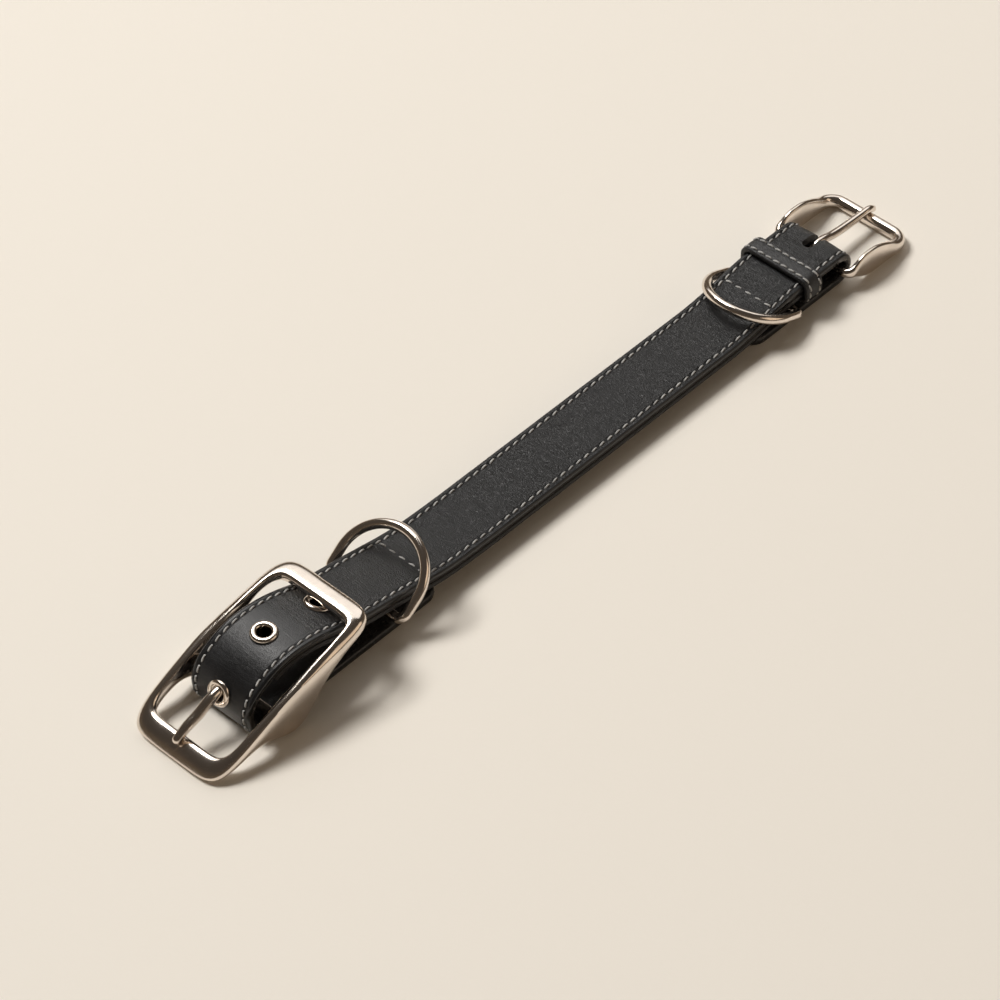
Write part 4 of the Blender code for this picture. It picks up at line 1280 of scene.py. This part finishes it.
def rounded_plan(x_low, x_high, half_width, corner_low, corner_high):
    """Plan points and outward normals of a rounded rectangle, symmetric about Y = 0."""
    stations = []

    def side(start, end, normal, parts):
        for part in range(parts):
            stations.append((start.lerp(end, (part + 0.5) / parts), normal))

    def corner(center, radius, start):
        for part in range(15):
            turn = math.radians(start + 90 * part / 14)
            normal = Vector((math.cos(turn), math.sin(turn)))
            stations.append((center + radius * normal, normal))

    high_y = half_width - corner_high
    low_y = half_width - corner_low
    arm_high = x_high - corner_high
    arm_low = x_low + corner_low
    side(Vector((x_high, -high_y)), Vector((x_high, high_y)), Vector((1, 0)), 6)
    corner(Vector((arm_high, high_y)), corner_high, 0)
    side(Vector((arm_high, half_width)), Vector((arm_low, half_width)), Vector((0, 1)), 30)
    corner(Vector((arm_low, low_y)), corner_low, 90)
    side(Vector((x_low, low_y)), Vector((x_low, -low_y)), Vector((-1, 0)), 6)
    corner(Vector((arm_low, -low_y)), corner_low, 180)
    side(Vector((arm_low, -half_width)), Vector((arm_high, -half_width)), Vector((0, -1)), 30)
    corner(Vector((arm_high, -high_y)), corner_high, 270)
    return stations


class CollarSmallBuckle(bpy.types.Operator):
    """Build the heel bar buckle and its prong"""

    bl_idname = "collar.small_buckle"
    bl_label = "Small buckle"

    def execute(self, context):
        sections = []
        plan = rounded_plan(HEEL_BAR[0], FRONT_BAR_X, FAR_FRAME_HALF_WIDTH, HEEL_CORNER,
                            FRONT_CORNER)
        top_at, bottom_at, half_at = (faired(FAR_FRAME_ROWS, column) for column in (1, 2, 3))
        for center, normal in plan:
            top = top_at(center.x)
            bottom = bottom_at(center.x)
            half = half_at(center.x)
            crown = 0.29 * min(2 * half, top - bottom)
            outline = rounded(bar_outline(half, top, bottom, 0.0, crown), 2)
            sections.append([(center.x + normal.x * spot.x, center.y + normal.y * spot.x, spot.y)
                             for spot in outline])
        buckle = skin("small_buckle", sections, True, nickel_material(), METAL_EDGE)
        dress(buckle, "far_buckle", "nickel", "far_frame")
        pin = prong("small_prong", FAR_PRONG_KNOTS, FAR_PRONG_RADIUS, HEEL_BAR, FAR_EYE_RADIUS,
                    HEEL_BAR_RADIUS)
        dress(pin, "far_prong", "nickel", "far_prong")
        return {"FINISHED"}


def ring_outline(half):
    """Flat D outline as (along, across) points: bar, corners, arms and a round arch."""
    corner = RING_CORNER
    points = arc((corner, corner - half), corner, 180, 270, 10)
    for part in range(105):
        angle = math.radians(-90 + 180 * part / 104)
        reach = (RING_DEPTH - RING_ARM) * math.cos(angle)
        points.append(Vector((RING_ARM + reach, half * math.sin(angle))))
    points += arc((corner, half - corner), corner, 90, 180, 10)
    for part in range(1, 12):
        points.append(Vector((0.0, (half - corner) * (1 - part / 6))))
    return points


class CollarRings(bpy.types.Operator):
    """Build the two D-rings"""

    bl_idname = "collar.rings"
    bl_label = "D-rings"

    def execute(self, context):
        for row in RINGS:
            points = ring_outline(row["half"])
            count = len(points)
            turn = Matrix.Rotation(-row["side"] * math.radians(row["lift"]), 4, "Y")
            place = Matrix.Translation((row["x"], 0.0, row["z"])) @ turn
            sections = []
            for index, point in enumerate(points):
                along = (points[(index + 1) % count] - points[index - 1]).normalized()
                normal = Vector((along.y, -along.x))
                section = []
                for lean in turns(24):
                    spot = point + normal * RING_WIRE_RADIUS * math.cos(lean)
                    height = RING_WIRE_RADIUS * math.sin(lean)
                    section.append(place @ Vector((row["side"] * spot.x, spot.y, height)))
                sections.append(section)
            ring = skin(row["name"] + "_wire", sections, True, nickel_material(),
                        METAL_EDGE)
            dress(ring, row["name"], "nickel", row["name"])
        return {"FINISHED"}


# Stage


def soft_light(row, power):
    """A rectangular area light that faces the middle of the collar."""
    data = bpy.data.lights.new(row["name"], "AREA")
    data.shape = "RECTANGLE"
    data.size, data.size_y = row["size"]
    data.energy = power
    data.color = row["color"]
    item = bpy.data.objects.new(row["name"], data)
    item.location = row["place"]
    item.rotation_mode = "QUATERNION"
    item.rotation_quaternion = (-Vector(row["place"])).to_track_quat("-Z", "Y")
    if row["hidden"]:
        setattr(item, row["hidden"], False)
    bpy.context.scene.collection.objects.link(item)


class CollarStudio(bpy.types.Operator):
    """Build the floor, the soft lights and the camera"""

    bl_idname = "collar.studio"
    bl_label = "Studio"

    def execute(self, context):
        settings = stage_settings()
        mesh_data = bmesh.new()
        bmesh.ops.create_grid(mesh_data, x_segments=8, y_segments=8, size=FLOOR_HALF_WIDTH)
        floor = mesh_object("floor", mesh_data, floor_material())
        for vert in floor.data.vertices:
            vert.co.z = FLOOR_Z
        for row in STUDIO_LIGHTS:
            soft_light(row, getattr(settings, row["name"] + "_power"))
        self.room()
        self.camera()
        return {"FINISHED"}

    def room(self):
        """Warm light from all round, brighter low down than overhead."""
        world = bpy.data.worlds.new("Room")
        world.use_nodes = True
        tree = world.node_tree
        background = tree.nodes["Background"]
        coords = node(tree, "ShaderNodeTexCoord", (-900, 0))
        parts = node(tree, "ShaderNodeSeparateXYZ", (-700, 0))
        tree.links.new(coords.outputs["Generated"], parts.inputs[0])
        height = ramp_node(tree, (-500, 0), parts.outputs["Z"], 0.05, 0.75)
        color = mixed_color(tree, (-250, 0), height, (1.0, 0.76, 0.54), (0.55, 0.46, 0.38))
        tree.links.new(color, background.inputs["Color"])
        background.inputs["Strength"].default_value = stage_settings().room_strength
        bpy.context.scene.world = world

    def camera(self):
        """The camera at the photograph's viewing angle."""
        data = bpy.data.cameras.new("camera")
        data.lens = CAMERA_LENS
        data.sensor_width = CAMERA_SENSOR
        data.sensor_fit = "HORIZONTAL"
        item = bpy.data.objects.new("camera", data)
        back = -Vector(CAMERA_FORWARD)
        turn = Matrix((Vector(CAMERA_RIGHT), Vector(CAMERA_UP), back)).transposed().to_4x4()
        item.matrix_world = Matrix.Translation(CAMERA_PLACE) @ turn
        bpy.context.scene.collection.objects.link(item)
        bpy.context.scene.camera = item
        bpy.context.scene.view_settings.view_transform = "Standard"


class CollarPanel(bpy.types.Panel):
    """The collar's sizes, colours and builders"""

    bl_idname = "VIEW3D_PT_collar"
    bl_label = "Dog collar"
    bl_space_type = "VIEW_3D"
    bl_region_type = "UI"
    bl_category = "Collar"

    def draw(self, context):
        layout = self.layout
        for settings in (leather_settings(), metal_settings(), stage_settings()):
            box = layout.box()
            for name in settings.__annotations__:
                box.prop(settings, name)
        for operator in BUILDERS:
            layout.operator(operator.bl_idname)


BUILDERS = (
    CollarStrap, CollarLining, CollarKeeper, CollarStitches, CollarEyelets, CollarLargeBuckle,
    CollarSmallBuckle, CollarRings, CollarStudio,
)
GROUPS = (CollarLeather, CollarMetal, CollarStage)


def register():
    for made in GROUPS + BUILDERS + (CollarPanel,):
        bpy.utils.register_class(made)
    bpy.types.Scene.collar_leather = bpy.props.PointerProperty(type=CollarLeather)
    bpy.types.Scene.collar_metal = bpy.props.PointerProperty(type=CollarMetal)
    bpy.types.Scene.collar_stage = bpy.props.PointerProperty(type=CollarStage)


def unregister():
    del bpy.types.Scene.collar_leather
    del bpy.types.Scene.collar_metal
    del bpy.types.Scene.collar_stage
    for made in reversed(GROUPS + BUILDERS + (CollarPanel,)):
        bpy.utils.unregister_class(made)


def main():
    """Build the whole scene."""
    register()
    bpy.ops.collar.strap()
    bpy.ops.collar.lining()
    bpy.ops.collar.keeper()
    bpy.ops.collar.stitches()
    bpy.ops.collar.eyelets()
    bpy.ops.collar.large_buckle()
    bpy.ops.collar.small_buckle()
    bpy.ops.collar.rings()
    bpy.ops.collar.studio()


if __name__ == "__main__":
    main()
